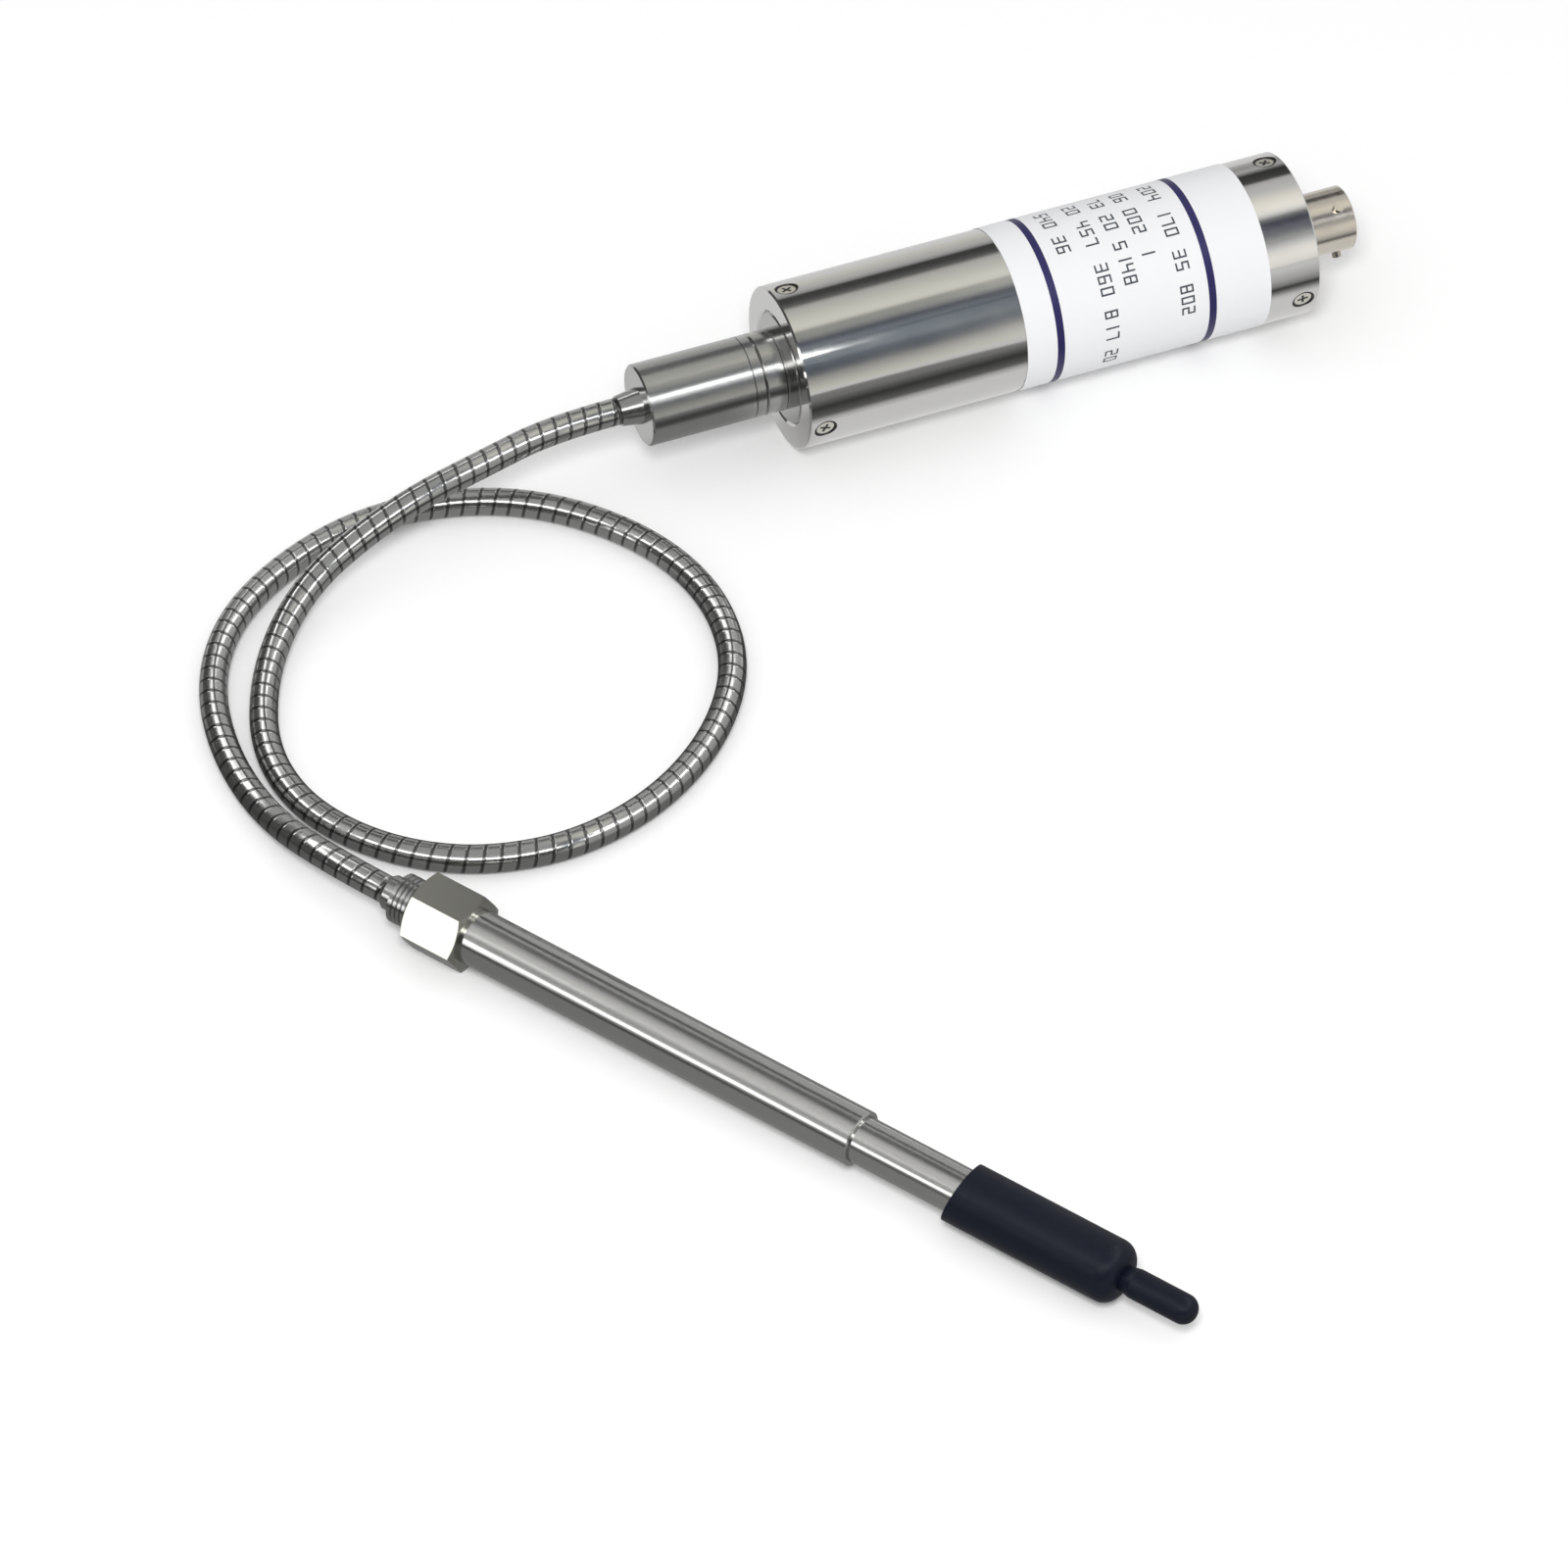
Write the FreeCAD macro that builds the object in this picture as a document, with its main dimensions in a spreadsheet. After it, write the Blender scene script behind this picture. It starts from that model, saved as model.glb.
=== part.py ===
import FreeCAD, Part
import Sketcher
import math
import os

# Melt pressure transmitter: a round electronics housing with a bayonet connector at one end and a
# slimmer neck at the other, a flexible metal conduit laid in one loop, and a rigid stem whose
# threaded tip is covered by a soft cap.  Millimetres.
# Row frame: origin on the housing axis at the middle of its bare stretch, +X along that axis
# towards the connector, +Z up.  The surface it lies on is at z = -(label radius).

os.makedirs("parts", exist_ok=True)
doc = FreeCAD.newDocument("pressure_transmitter")
sheet = doc.addObject("Spreadsheet::Sheet", "dims")

DRIVING = [
    # electronics housing
    ("housing_len", 126.0), ("housing_dia", 38.1), ("housing_wall", 2.5), ("rim_chamfer", 0.4),
    ("land_len", 13.0), ("land_wall", 5.85), ("joint_chamfer", 0.5), ("plug_len", 12.0),
    ("plug_gap", 0.05), ("bare_mid", 32.9),
    # label wrapped round the housing
    ("label_from", 53.2), ("label_to", 113.5), ("label_thick", 0.15), ("label_gap", 0.05),
    # radial end screws
    ("screw_inset", 4.0), ("screw_head_dia", 5.4), ("screw_head_rim", 0.2), ("screw_sunk", 0.35),
    ("screw_dia", 2.9), ("screw_grip", 3.2), ("screw_gap", 0.05), ("screw_angle", -17.1),
    # neck
    ("neck_dia", 19.05), ("neck_len", 34.1), ("neck_wall", 2.225), ("neck_wall_end", 3.0),
    ("stub_len", 6.3), ("joint_groove", 0.35), ("hub_bore", 10.0), ("fine_groove", 0.3),
    ("fine_groove_at", 8.9), ("hub_groove_at", 1.5), ("spigot_len", 4.0),
    # seals
    ("seal_section", 1.7), ("seal_groove", 1.9), ("seal_from_face", 8.0),
    # conduit and its two ends
    ("conduit_dia", 6.35), ("conduit_wall", 0.9), ("capillary_dia", 1.6), ("capillary_gap", 0.3),
    ("cone_len", 5.0), ("cone_dia", 8.6), ("cone_lip", 0.35), ("cone_spigot", 6.7),
    # sensing capsule in the neck
    ("capsule_len", 13.0), ("capsule_back", 11.0),
    # connector
    ("shell_dia", 15.0), ("shell_wall", 1.3), ("shell_out", 14.5), ("shell_in", 4.5),
    ("flange_rim", 3.0), ("flange_thick", 1.8), ("gasket_thick", 0.6), ("socket_depth", 6.2),
    ("stud_dia", 2.3), ("stud_out", 1.2), ("stud_back", 3.6), ("stud_angle", 28.4),
    ("contact_dia", 1.0), ("contact_out", 4.6), ("contact_tail", 3.0), ("contact_circle", 7.0),
    # electronics
    ("carrier_thick", 4.0), ("carrier_gap", 1.5), ("slot_depth", 2.0), ("board_margin", 3.05),
    ("board_thick", 1.6), ("board_gap", 0.1), ("trimmer_len", 9.5), ("trimmer_wide", 4.8),
    ("trimmer_high", 6.4), ("chip_len", 12.0), ("chip_wide", 8.0), ("chip_high", 2.4),
    ("capacitor_dia", 6.3), ("capacitor_high", 8.0),
    # stem
    ("nut_flats", 15.88), ("nut_len", 14.0), ("nut_seat", 4.0), ("sheath_dia", 12.57),
    ("sheath_len", 101.3), ("core_dia", 10.5), ("core_gap", 0.05), ("tip_at", 152.4),
    ("thread_dia", 12.7), ("thread_len", 11.0), ("thread_back", 19.4), ("snout_dia", 7.8),
    ("snout_len", 5.6), ("seal_cone", 1.8), ("diaphragm_dia", 6.6), ("diaphragm_thick", 0.3),
    ("fill_cavity", 0.9), ("collar_dia", 11.4), ("collar_len", 5.8), ("sleeve_dia", 8.0),
    ("sleeve_len", 3.4), ("stem_angle", -57.38), ("stem_x", -155.43), ("stem_y", -132.27),
    ("lead_out", 16.0), ("axis_run", 10.0),
    # protective cap
    ("cap_cover", 27.5), ("cap_room", 15.5), ("cap_tail", 32.9), ("cap_wall", 0.6),
    ("cap_gap", 0.1), ("cap_round", 4.0), ("nub_dia", 6.6), ("nub_neck_dia", 5.6), ("nub_flare", 2.5),
    ("cap_base", 2.5), ("cap_slant", 3.7),
]
DERIVED = [
    ("housing_r", "=housing_dia / 2"), ("bore_r", "=housing_r - housing_wall"),
    ("plug_r", "=housing_r - land_wall"), ("land_r", "=plug_r + plug_gap"),
    ("label_in", "=housing_r + label_gap"), ("label_r", "=housing_r + label_thick"),
    ("plate_r", "=bore_r - plug_gap"), ("plate_back", "=housing_len - plug_len"),
    ("neck_r", "=neck_dia / 2"), ("neck_bore_r", "=neck_r - neck_wall"), ("hub_bore_r", "=hub_bore / 2"),
    ("shell_r", "=shell_dia / 2"), ("shell_bore_r", "=shell_r - shell_wall"),
    ("flange_r", "=shell_r + flange_rim"),
    ("seal_r", "=seal_section / 2"), ("nut_half", "=nut_flats / 2"),
    ("stem_z", "=nut_half - label_r"), ("sheath_r", "=sheath_dia / 2"), ("core_r", "=core_dia / 2"),
    ("thread_r", "=thread_dia / 2"), ("snout_r", "=snout_dia / 2"),
    ("capillary_r", "=capillary_dia / 2"), ("passage_r", "=capillary_r + capillary_gap"),
    ("thread_from", "=tip_at - thread_back"), ("cap_from", "=tip_at - cap_cover"),
    ("cap_shoulder", "=tip_at + cap_room"), ("cap_end", "=tip_at + cap_tail"),
    ("cap_in_r", "=thread_r + cap_gap"), ("cap_r", "=cap_in_r + cap_wall"),
    ("screw_top", "=housing_r - screw_sunk"), ("conduit_r", "=conduit_dia / 2"),
    ("conduit_bore_r", "=conduit_r - conduit_wall"),
]

row = 1
for alias, number in DRIVING:
    sheet.set("A%d" % row, alias)
    sheet.set("B%d" % row, repr(number))
    sheet.setAlias("B%d" % row, alias)
    row += 1
for alias, formula in DERIVED:
    sheet.set("A%d" % row, alias)
    sheet.set("B%d" % row, formula)
    sheet.setAlias("B%d" % row, alias)
    row += 1
doc.recompute()


def val(text):
    """Value of a sum such as "housing_len - plug_len + 2.0", its words being cells of the sheet."""
    total = 0.0
    sign = 1.0
    for word in text.split():
        if word == "+":
            sign = 1.0
        elif word == "-":
            sign = -1.0
        else:
            total += sign * (float(sheet.get(word)) if word[0].isalpha() else float(word))
            sign = 1.0
    return total


def cell(text):
    """The same sum, as an expression that binds to the sheet."""
    return " ".join("dims." + word if word[0].isalpha() else word for word in text.split())


def axis_of(body, role):
    return [f for f in body.Origin.OriginFeatures if f.Role == role][0]


def make_body(label, several=False):
    body = doc.addObject("PartDesign::Body", label)
    body.Label = label
    if several:
        body.AllowCompound = True
    return body


def sketch_on(body, name, role, turn=None):
    sketch = body.newObject("Sketcher::SketchObject", name)
    sketch.AttachmentSupport = (axis_of(body, role), [""])
    sketch.MapMode = "FlatFace"
    if turn is not None:
        sketch.AttachmentOffset = FreeCAD.Placement(FreeCAD.Vector(0, 0, 0), turn)
    return sketch


def pin_point(sketch, edge, end, across, along):
    """Hold one sketch vertex by its two distances from the sketch origin."""
    for kind, text, line in (("DistanceX", across, -2), ("DistanceY", along, -1)):
        if val(text) == 0.0 and text == "0":
            sketch.addConstraint(Sketcher.Constraint("PointOnObject", edge, end, line))
        else:
            index = sketch.addConstraint(Sketcher.Constraint(kind, -1, 1, edge, end, val(text)))
            sketch.setExpression("Constraints[%d]" % index, cell(text))


def outline(sketch, points):
    """Closed outline of straight edges through the given vertices."""
    count = len(points)
    spots = [FreeCAD.Vector(val(a), val(b), 0) for a, b in points]
    first = sketch.GeometryCount
    for i in range(count):
        sketch.addGeometry(Part.LineSegment(spots[i], spots[(i + 1) % count]), False)
    for i in range(count):
        after = first + (i + 1) % count
        sketch.addConstraint(Sketcher.Constraint("Coincident", first + i, 2, after, 1))
    for i in range(count):
        pin_point(sketch, first + i, 1, points[i][0], points[i][1])


def turn_about(body, sketch, axis, cut=False):
    kind = "PartDesign::Groove" if cut else "PartDesign::Revolution"
    feature = body.newObject(kind, sketch.Name + ("_groove" if cut else "_turned"))
    feature.Profile = sketch
    feature.ReferenceAxis = axis
    feature.Angle = 360.0
    sketch.Visibility = False
    body.Tip = feature
    doc.recompute()
    return feature


def ring_of(body, feature, count, name):
    """Repeat a feature round the body's X axis."""
    pattern = body.newObject("PartDesign::PolarPattern", name)
    pattern.Originals = [feature]
    pattern.Axis = (axis_of(body, "X_Axis"), [""])
    pattern.Angle = 360.0
    pattern.Occurrences = count
    body.Tip = pattern
    doc.recompute()
    return pattern


def turned(label, points, cuts=()):
    """A piece turned about its own X axis from a half section, with further turned grooves."""
    body = make_body(label)
    sketch = sketch_on(body, label + "_section", "XY_Plane")
    outline(sketch, points)
    turn_about(body, sketch, (sketch, ["H_Axis"]))
    for number, groove in enumerate(cuts):
        sketch = sketch_on(body, "%s_cut%d" % (label, number + 1), "XY_Plane")
        outline(sketch, groove)
        before = body.Shape.Volume
        turn_about(body, sketch, (sketch, ["H_Axis"]), cut=True)
        if body.Shape.Volume >= before:
            raise ValueError(label + " groove %d cuts nothing" % (number + 1))
    return body


def radial(body, name, points, at, turn, count, cut):
    """Turned studs, screws or holes whose axis stands radially at a station along X."""
    spin = FreeCAD.Rotation(FreeCAD.Vector(1, 0, 0), turn)
    sketch = sketch_on(body, name, "XZ_Plane", spin)
    shifted = [(at + " + " + a if a != "0" else at, b) for a, b in points]
    outline(sketch, shifted)
    low = FreeCAD.Vector(val(at), 0, 0)
    axis = sketch.addGeometry(Part.LineSegment(low, low + FreeCAD.Vector(0, val("axis_run"), 0)), True)
    pin_point(sketch, axis, 1, at, "0")
    sketch.addConstraint(Sketcher.Constraint("Vertical", axis))
    index = sketch.addConstraint(Sketcher.Constraint("DistanceY", axis, 1, axis, 2, val("axis_run")))
    sketch.setExpression("Constraints[%d]" % index, "dims.axis_run")
    before = body.Shape.Volume if cut else 0.0
    feature = turn_about(body, sketch, (sketch, ["Axis0"]), cut)
    ring_of(body, feature, count, name + "_ring")
    if cut and body.Shape.Volume >= before:
        raise ValueError(name + " cuts nothing")


def on_housing(body):
    body.setExpression("Placement.Base.x", "-dims.bare_mid")


def on_stem(body):
    body.setExpression("Placement.Base.x", "dims.stem_x")
    body.setExpression("Placement.Base.y", "dims.stem_y")
    body.setExpression("Placement.Base.z", "dims.stem_z")
    body.Placement.Rotation = FreeCAD.Rotation(FreeCAD.Vector(0, 0, 1), val("stem_angle"))


def block(body, name, corner, size, plane_at):
    """A rectangular pad: corner and size are sums for X and Y, plane_at the two Z levels."""
    sketch = sketch_on(body, name, "XY_Plane")
    sketch.setExpression("AttachmentOffset.Base.z", cell(plane_at[0]))
    doc.recompute()
    x0, y0 = corner
    x1 = x0 + " + " + size[0]
    y1 = y0 + " + " + size[1]
    outline(sketch, [(x0, y0), (x1, y0), (x1, y1), (x0, y1)])
    pad = body.newObject("PartDesign::Pad", name + "_pad")
    pad.Profile = sketch
    pad.Length = val(plane_at[1])
    pad.setExpression("Length", cell(plane_at[1]))
    sketch.Visibility = False
    body.Tip = pad
    doc.recompute()
    return pad


SCREW_ANGLE = val("screw_angle")
for alias, formula in (("screw_head_r", "=screw_head_dia / 2"), ("screw_r", "=screw_dia / 2"),
                       ("screw_neck", "=screw_top - screw_head_rim - screw_head_r + screw_r"),
                       ("stud_r", "=stud_dia / 2"), ("contact_r", "=contact_dia / 2"),
                       ("contact_at", "=contact_circle / 2"), ("plug_mid_r", "=plug_r - screw_grip"),
                       ("plate_mid_r", "=plate_r - screw_grip"), ("cone_r", "=cone_dia / 2"),
                       ("cone_tip_r", "=conduit_r + cone_lip"), ("cone_spigot_r", "=cone_spigot / 2"),
                       ("collar_r", "=collar_dia / 2"), ("sleeve_r", "=sleeve_dia / 2"),
                       ("diaphragm_r", "=diaphragm_dia / 2"), ("nub_r", "=nub_dia / 2"),
                       ("nub_neck_r", "=nub_neck_dia / 2"), ("capsule_r", "=neck_bore_r - plug_gap"),
                       ("right_screw_at", "=housing_len - screw_inset"),
                       ("stud_at", "=housing_len + shell_out - stud_back"),
                       ("shell_end", "=housing_len + shell_out"),
                       ("board_width", "=2 * bore_r - 2 * board_margin"), ("board_z", "=-board_thick / 2"),
                       ("board_y", "=-board_width / 2")):
    sheet.set("A%d" % row, alias)
    sheet.set("B%d" % row, formula)
    sheet.setAlias("B%d" % row, alias)
    row += 1
doc.recompute()

# ---------------------------------------------------------------- housing
tube = turned("housing_tube", [
    ("rim_chamfer", "housing_r"), ("housing_len - rim_chamfer", "housing_r"),
    ("housing_len", "housing_r - rim_chamfer"), ("housing_len", "bore_r"),
    ("land_len", "bore_r"), ("land_len", "land_r"), ("joint_chamfer", "land_r"),
    ("0", "land_r + joint_chamfer"),
    ("0", "housing_r - rim_chamfer")])


def screw_hole(bottom):
    """Half section of a countersunk hole, from outside the tube down to a radius."""
    return [("0", "housing_r + 1.0"), ("screw_head_r + screw_gap", "housing_r + 1.0"),
            ("screw_head_r + screw_gap", "screw_top - screw_head_rim - screw_gap"),
            ("screw_r + screw_gap", "screw_neck - screw_gap"), ("screw_r + screw_gap", bottom),
            ("0", bottom)]


radial(tube, "neck_screw_hole", screw_hole("land_r - 1.0"), "screw_inset", SCREW_ANGLE, 3, True)
radial(tube, "plate_screw_hole", screw_hole("bore_r - 1.0"), "right_screw_at", SCREW_ANGLE, 3, True)
on_housing(tube)

label = turned("label_wrap", [("label_from", "label_in"), ("label_to", "label_in"),
                              ("label_to", "label_r"), ("label_from", "label_r")])
on_housing(label)


def tapped(bottom, top):
    return [("0", top), ("screw_r + screw_gap", top), ("screw_r + screw_gap", bottom), ("0", bottom)]


def screws(name, at, inner):
    """Three countersunk screws in one group, heads just below the housing surface."""
    body = make_body(name, several=True)
    radial(body, name + "_section", [
        ("0", "screw_top"), ("screw_head_r", "screw_top"),
        ("screw_head_r", "screw_top - screw_head_rim"), ("screw_r", "screw_neck"),
        ("screw_r", inner), ("0", inner)], at, SCREW_ANGLE, 3, False)
    on_housing(body)
    return body


# ---------------------------------------------------------------- neck
hub = turned("neck_hub", [
    ("plug_len", "hub_bore_r"), ("plug_len", "plug_r"), ("joint_chamfer", "plug_r"),
    ("0", "plug_r - joint_chamfer"), ("0", "neck_r"),
    ("0 - stub_len + joint_groove", "neck_r"), ("0 - stub_len", "neck_r - joint_groove"),
    ("0 - stub_len", "neck_bore_r"), ("0 - stub_len - spigot_len", "neck_bore_r"),
    ("0 - stub_len - spigot_len", "hub_bore_r")],
    [[("0 - hub_groove_at", "neck_r - fine_groove"), ("0 - hub_groove_at - fine_groove", "neck_r + 0.5"),
      ("0 - hub_groove_at + fine_groove", "neck_r + 0.5")],
     [("seal_from_face", "plug_r - seal_section"), ("seal_from_face + seal_groove", "plug_r - seal_section"),
      ("seal_from_face + seal_groove", "plug_r + 0.5"), ("seal_from_face", "plug_r + 0.5")]])
radial(hub, "hub_tapped_hole", tapped("plug_mid_r - 0.3", "plug_r + 0.5"), "screw_inset",
       SCREW_ANGLE, 3, True)
on_housing(hub)

neck = turned("neck_tube", [
    ("0 - stub_len - plug_gap", "neck_bore_r + plug_gap"),
    ("0 - stub_len - plug_gap", "neck_r - joint_groove"),
    ("0 - stub_len - joint_groove", "neck_r"), ("0 - neck_len + rim_chamfer", "neck_r"),
    ("0 - neck_len", "neck_r - rim_chamfer"), ("0 - neck_len", "cone_spigot_r + plug_gap"),
    ("0 - neck_len + neck_wall_end", "cone_spigot_r + plug_gap"),
    ("0 - neck_len + neck_wall_end", "neck_bore_r + plug_gap")],
    [[("0 - fine_groove_at", "neck_r - fine_groove"), ("0 - fine_groove_at - fine_groove", "neck_r + 0.5"),
      ("0 - fine_groove_at + fine_groove", "neck_r + 0.5")]])
on_housing(neck)

capsule = turned("sensing_capsule", [
    ("0 - capsule_back", "0"), ("0 - capsule_back", "capsule_r"),
    ("0 - capsule_back - capsule_len", "capsule_r"), ("0 - capsule_back - capsule_len", "0")])
on_housing(capsule)

cone = turned("upper_ferrule", [
    ("0 - neck_len + neck_wall_end", "passage_r"), ("0 - neck_len + neck_wall_end", "cone_spigot_r"),
    ("0 - neck_len", "cone_spigot_r"), ("0 - neck_len", "cone_r"),
    ("0 - neck_len - cone_len", "cone_tip_r"), ("0 - neck_len - cone_len", "passage_r")])
on_housing(cone)


def seal(name, centre, outer):
    """A plain ring of round section that lies in its groove."""
    body = make_body(name)
    sketch = sketch_on(body, name + "_section", "XY_Plane")
    spot = FreeCAD.Vector(val(centre), val(outer) - val("seal_r"), 0)
    sketch.addGeometry(Part.Circle(spot, FreeCAD.Vector(0, 0, 1), val("seal_r")), False)
    index = sketch.addConstraint(Sketcher.Constraint("Radius", 0, val("seal_r")))
    sketch.setExpression("Constraints[%d]" % index, "dims.seal_r")
    pin_point(sketch, 0, 3, centre, outer + " - seal_r")
    turn_about(body, sketch, (sketch, ["H_Axis"]))
    on_housing(body)
    return body


for alias, formula in (("neck_seal_at", "=seal_from_face + seal_groove / 2"),
                       ("plate_seal_at", "=housing_len - seal_from_face - seal_groove / 2")):
    sheet.set("A%d" % row, alias)
    sheet.set("B%d" % row, formula)
    sheet.setAlias("B%d" % row, alias)
    row += 1
doc.recompute()
seal("neck_end_seal", "neck_seal_at", "plug_r")
seal("connector_end_seal", "plate_seal_at", "plate_r")
screws("neck_end_screws", "screw_inset", "plug_mid_r")
screws("connector_end_screws", "right_screw_at", "plate_mid_r")

# ---------------------------------------------------------------- connector end
plate = turned("connector_end_plate", [
    ("plate_back", "shell_r + plug_gap"), ("plate_back", "plate_r"), ("housing_len", "plate_r"),
    ("housing_len", "shell_r + plug_gap")],
    [[("housing_len - seal_from_face - seal_groove", "plate_r - seal_section"),
      ("housing_len - seal_from_face", "plate_r - seal_section"),
      ("housing_len - seal_from_face", "plate_r + 0.5"),
      ("housing_len - seal_from_face - seal_groove", "plate_r + 0.5")]])
radial(plate, "plate_tapped_hole", tapped("plate_mid_r - 0.3", "plate_r + 0.5"), "right_screw_at",
       SCREW_ANGLE, 3, True)
on_housing(plate)

gasket = turned("connector_gasket", [
    ("plate_back - gasket_thick", "shell_r + plug_gap"), ("plate_back - gasket_thick", "flange_r"),
    ("plate_back", "flange_r"), ("plate_back", "shell_r + plug_gap")])
on_housing(gasket)

shell = turned("connector_shell", [
    ("plate_back - shell_in", "shell_bore_r"), ("plate_back - shell_in", "shell_r"),
    ("plate_back - gasket_thick - flange_thick", "shell_r"),
    ("plate_back - gasket_thick - flange_thick", "flange_r"),
    ("plate_back - gasket_thick", "flange_r"), ("plate_back - gasket_thick", "shell_r"),
    ("shell_end - rim_chamfer", "shell_r"), ("shell_end", "shell_r - rim_chamfer"),
    ("shell_end", "shell_bore_r")])
radial(shell, "bayonet_stud", [("0", "shell_bore_r + 0.4"), ("stud_r", "shell_bore_r + 0.4"),
                               ("stud_r", "shell_r + stud_out"), ("0", "shell_r + stud_out")],
       "stud_at", val("stud_angle"), 3, False)
on_housing(shell)

insert = turned("contact_insert", [
    ("plate_back - shell_in", "0"), ("plate_back - shell_in", "shell_bore_r - plug_gap"),
    ("shell_end - socket_depth", "shell_bore_r - plug_gap"), ("shell_end - socket_depth", "0")])


def contact_section(grow, back, front):
    return [(back, "0"), (front, "0"), (front, "contact_r" + grow), (back, "contact_r" + grow)]


def contacts(body, name, grow, back, front, cut):
    """One contact on the axis and five round it, or the holes that they sit in."""
    sketch = sketch_on(body, name + "_middle", "XY_Plane")
    outline(sketch, contact_section(grow, back, front))
    turn_about(body, sketch, (sketch, ["H_Axis"]), cut)
    sketch = sketch_on(body, name + "_outer", "XY_Plane")
    outline(sketch, [(back, "contact_at"), (front, "contact_at"),
                     (front, "contact_at + contact_r" + grow), (back, "contact_at + contact_r" + grow)])
    low = FreeCAD.Vector(val(back), val("contact_at"), 0)
    axis = sketch.addGeometry(Part.LineSegment(low, low + FreeCAD.Vector(val("axis_run"), 0, 0)), True)
    pin_point(sketch, axis, 1, back, "contact_at")
    sketch.addConstraint(Sketcher.Constraint("Horizontal", axis))
    index = sketch.addConstraint(Sketcher.Constraint("DistanceX", axis, 1, axis, 2, val("axis_run")))
    sketch.setExpression("Constraints[%d]" % index, "dims.axis_run")
    feature = turn_about(body, sketch, (sketch, ["Axis0"]), cut)
    ring_of(body, feature, 5, name + "_ring")


full = insert.Shape.Volume
contacts(insert, "contact_hole", " + plug_gap", "plate_back - shell_in - 1.0",
         "shell_end - socket_depth + 1.0", True)
if insert.Shape.Volume >= full:
    raise ValueError("contact holes cut nothing")
on_housing(insert)
pins = make_body("contact_pins", several=True)
contacts(pins, "contact", "", "plate_back - shell_in - contact_tail",
         "shell_end - socket_depth + contact_out", False)
on_housing(pins)

# ---------------------------------------------------------------- electronics
for alias, formula in (("front_carrier_at", "=land_len + carrier_gap"),
                       ("rear_carrier_at",
                        "=plate_back - shell_in - contact_tail - carrier_gap - carrier_thick"),
                       ("carrier_r", "=bore_r - board_gap"),
                       ("board_from", "=front_carrier_at + carrier_thick - slot_depth + board_gap"),
                       ("board_to", "=rear_carrier_at + slot_depth - board_gap"),
                       ("board_len", "=board_to - board_from"),
                       ("slot_wide", "=board_width + 2 * board_gap"),
                       ("slot_y", "=-slot_wide / 2"), ("slot_z", "=-board_thick / 2 - board_gap"),
                       ("slot_high", "=board_thick + 2 * board_gap"),
                       ("chip_at", "=board_from + board_len * 0.25"),
                       ("trimmer_at", "=board_from + board_len * 0.78"),
                       ("capacitor_at", "=board_from + board_len * 0.52"),
                       ("trimmer_y", "=-trimmer_wide - 2"), ("board_top", "=board_thick / 2"),
                       ("chip_y", "=-chip_wide / 2"), ("trimmer_y2", "=2.0"),
                       ("capacitor_r", "=capacitor_dia / 2"), ("slot_cut", "=slot_depth")):
    sheet.set("A%d" % row, alias)
    sheet.set("B%d" % row, formula)
    sheet.setAlias("B%d" % row, alias)
    row += 1
doc.recompute()


def carrier(name, at, slot_from):
    """A round plate with a slot that holds one end of the circuit board."""
    body = turned(name, [(at, "0"), (at, "carrier_r"), (at + " + carrier_thick", "carrier_r"),
                         (at + " + carrier_thick", "0")])
    sketch = sketch_on(body, name + "_slot", "XY_Plane")
    sketch.setExpression("AttachmentOffset.Base.z", "dims.slot_z + dims.slot_high")
    doc.recompute()
    outline(sketch, [(slot_from, "slot_y"), (slot_from + " + slot_cut", "slot_y"),
                     (slot_from + " + slot_cut", "slot_y + slot_wide"), (slot_from, "slot_y + slot_wide")])
    pocket = body.newObject("PartDesign::Pocket", name + "_pocket")
    pocket.Profile = sketch
    pocket.Length = val("slot_high")
    pocket.setExpression("Length", "dims.slot_high")
    body.Tip = pocket
    before = math.pi * val("carrier_r") ** 2 * val("carrier_thick")
    doc.recompute()
    if body.Shape.Volume >= before - 1.0:
        raise ValueError(name + " slot cuts nothing")
    on_housing(body)
    return body


carrier("front_board_carrier", "front_carrier_at", "front_carrier_at + carrier_thick - slot_cut")
carrier("rear_board_carrier", "rear_carrier_at", "rear_carrier_at")
board = make_body("circuit_board")
block(board, "board_outline", ("board_from", "board_y"), ("board_len", "board_width"),
      ("board_z", "board_thick"))
on_housing(board)
chips = make_body("amplifier_chips", several=True)
block(chips, "chip_one", ("chip_at", "chip_y"), ("chip_len", "chip_wide"), ("board_top", "chip_high"))
block(chips, "chip_two", ("chip_at - chip_len - 3.0", "chip_y"), ("chip_wide", "chip_wide"),
      ("board_top", "chip_high"))
on_housing(chips)
trimmers = make_body("zero_and_span_trimmers", several=True)
block(trimmers, "trimmer_one", ("trimmer_at", "trimmer_y"), ("trimmer_len", "trimmer_wide"),
      ("board_top", "trimmer_high"))
block(trimmers, "trimmer_two", ("trimmer_at", "trimmer_y2"), ("trimmer_len", "trimmer_wide"),
      ("board_top", "trimmer_high"))
on_housing(trimmers)
capacitor = make_body("filter_capacitor")
sketch = sketch_on(capacitor, "capacitor_outline", "XY_Plane")
sketch.setExpression("AttachmentOffset.Base.z", "dims.board_top")
sketch.addGeometry(Part.Circle(FreeCAD.Vector(val("capacitor_at"), 0, 0), FreeCAD.Vector(0, 0, 1),
                               val("capacitor_r")), False)
index = sketch.addConstraint(Sketcher.Constraint("Radius", 0, val("capacitor_r")))
sketch.setExpression("Constraints[%d]" % index, "dims.capacitor_r")
pin_point(sketch, 0, 3, "capacitor_at", "0")
pad = capacitor.newObject("PartDesign::Pad", "capacitor_can")
pad.Profile = sketch
pad.Length = val("capacitor_high")
pad.setExpression("Length", "dims.capacitor_high")
capacitor.Tip = pad
doc.recompute()
on_housing(capacitor)

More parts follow.
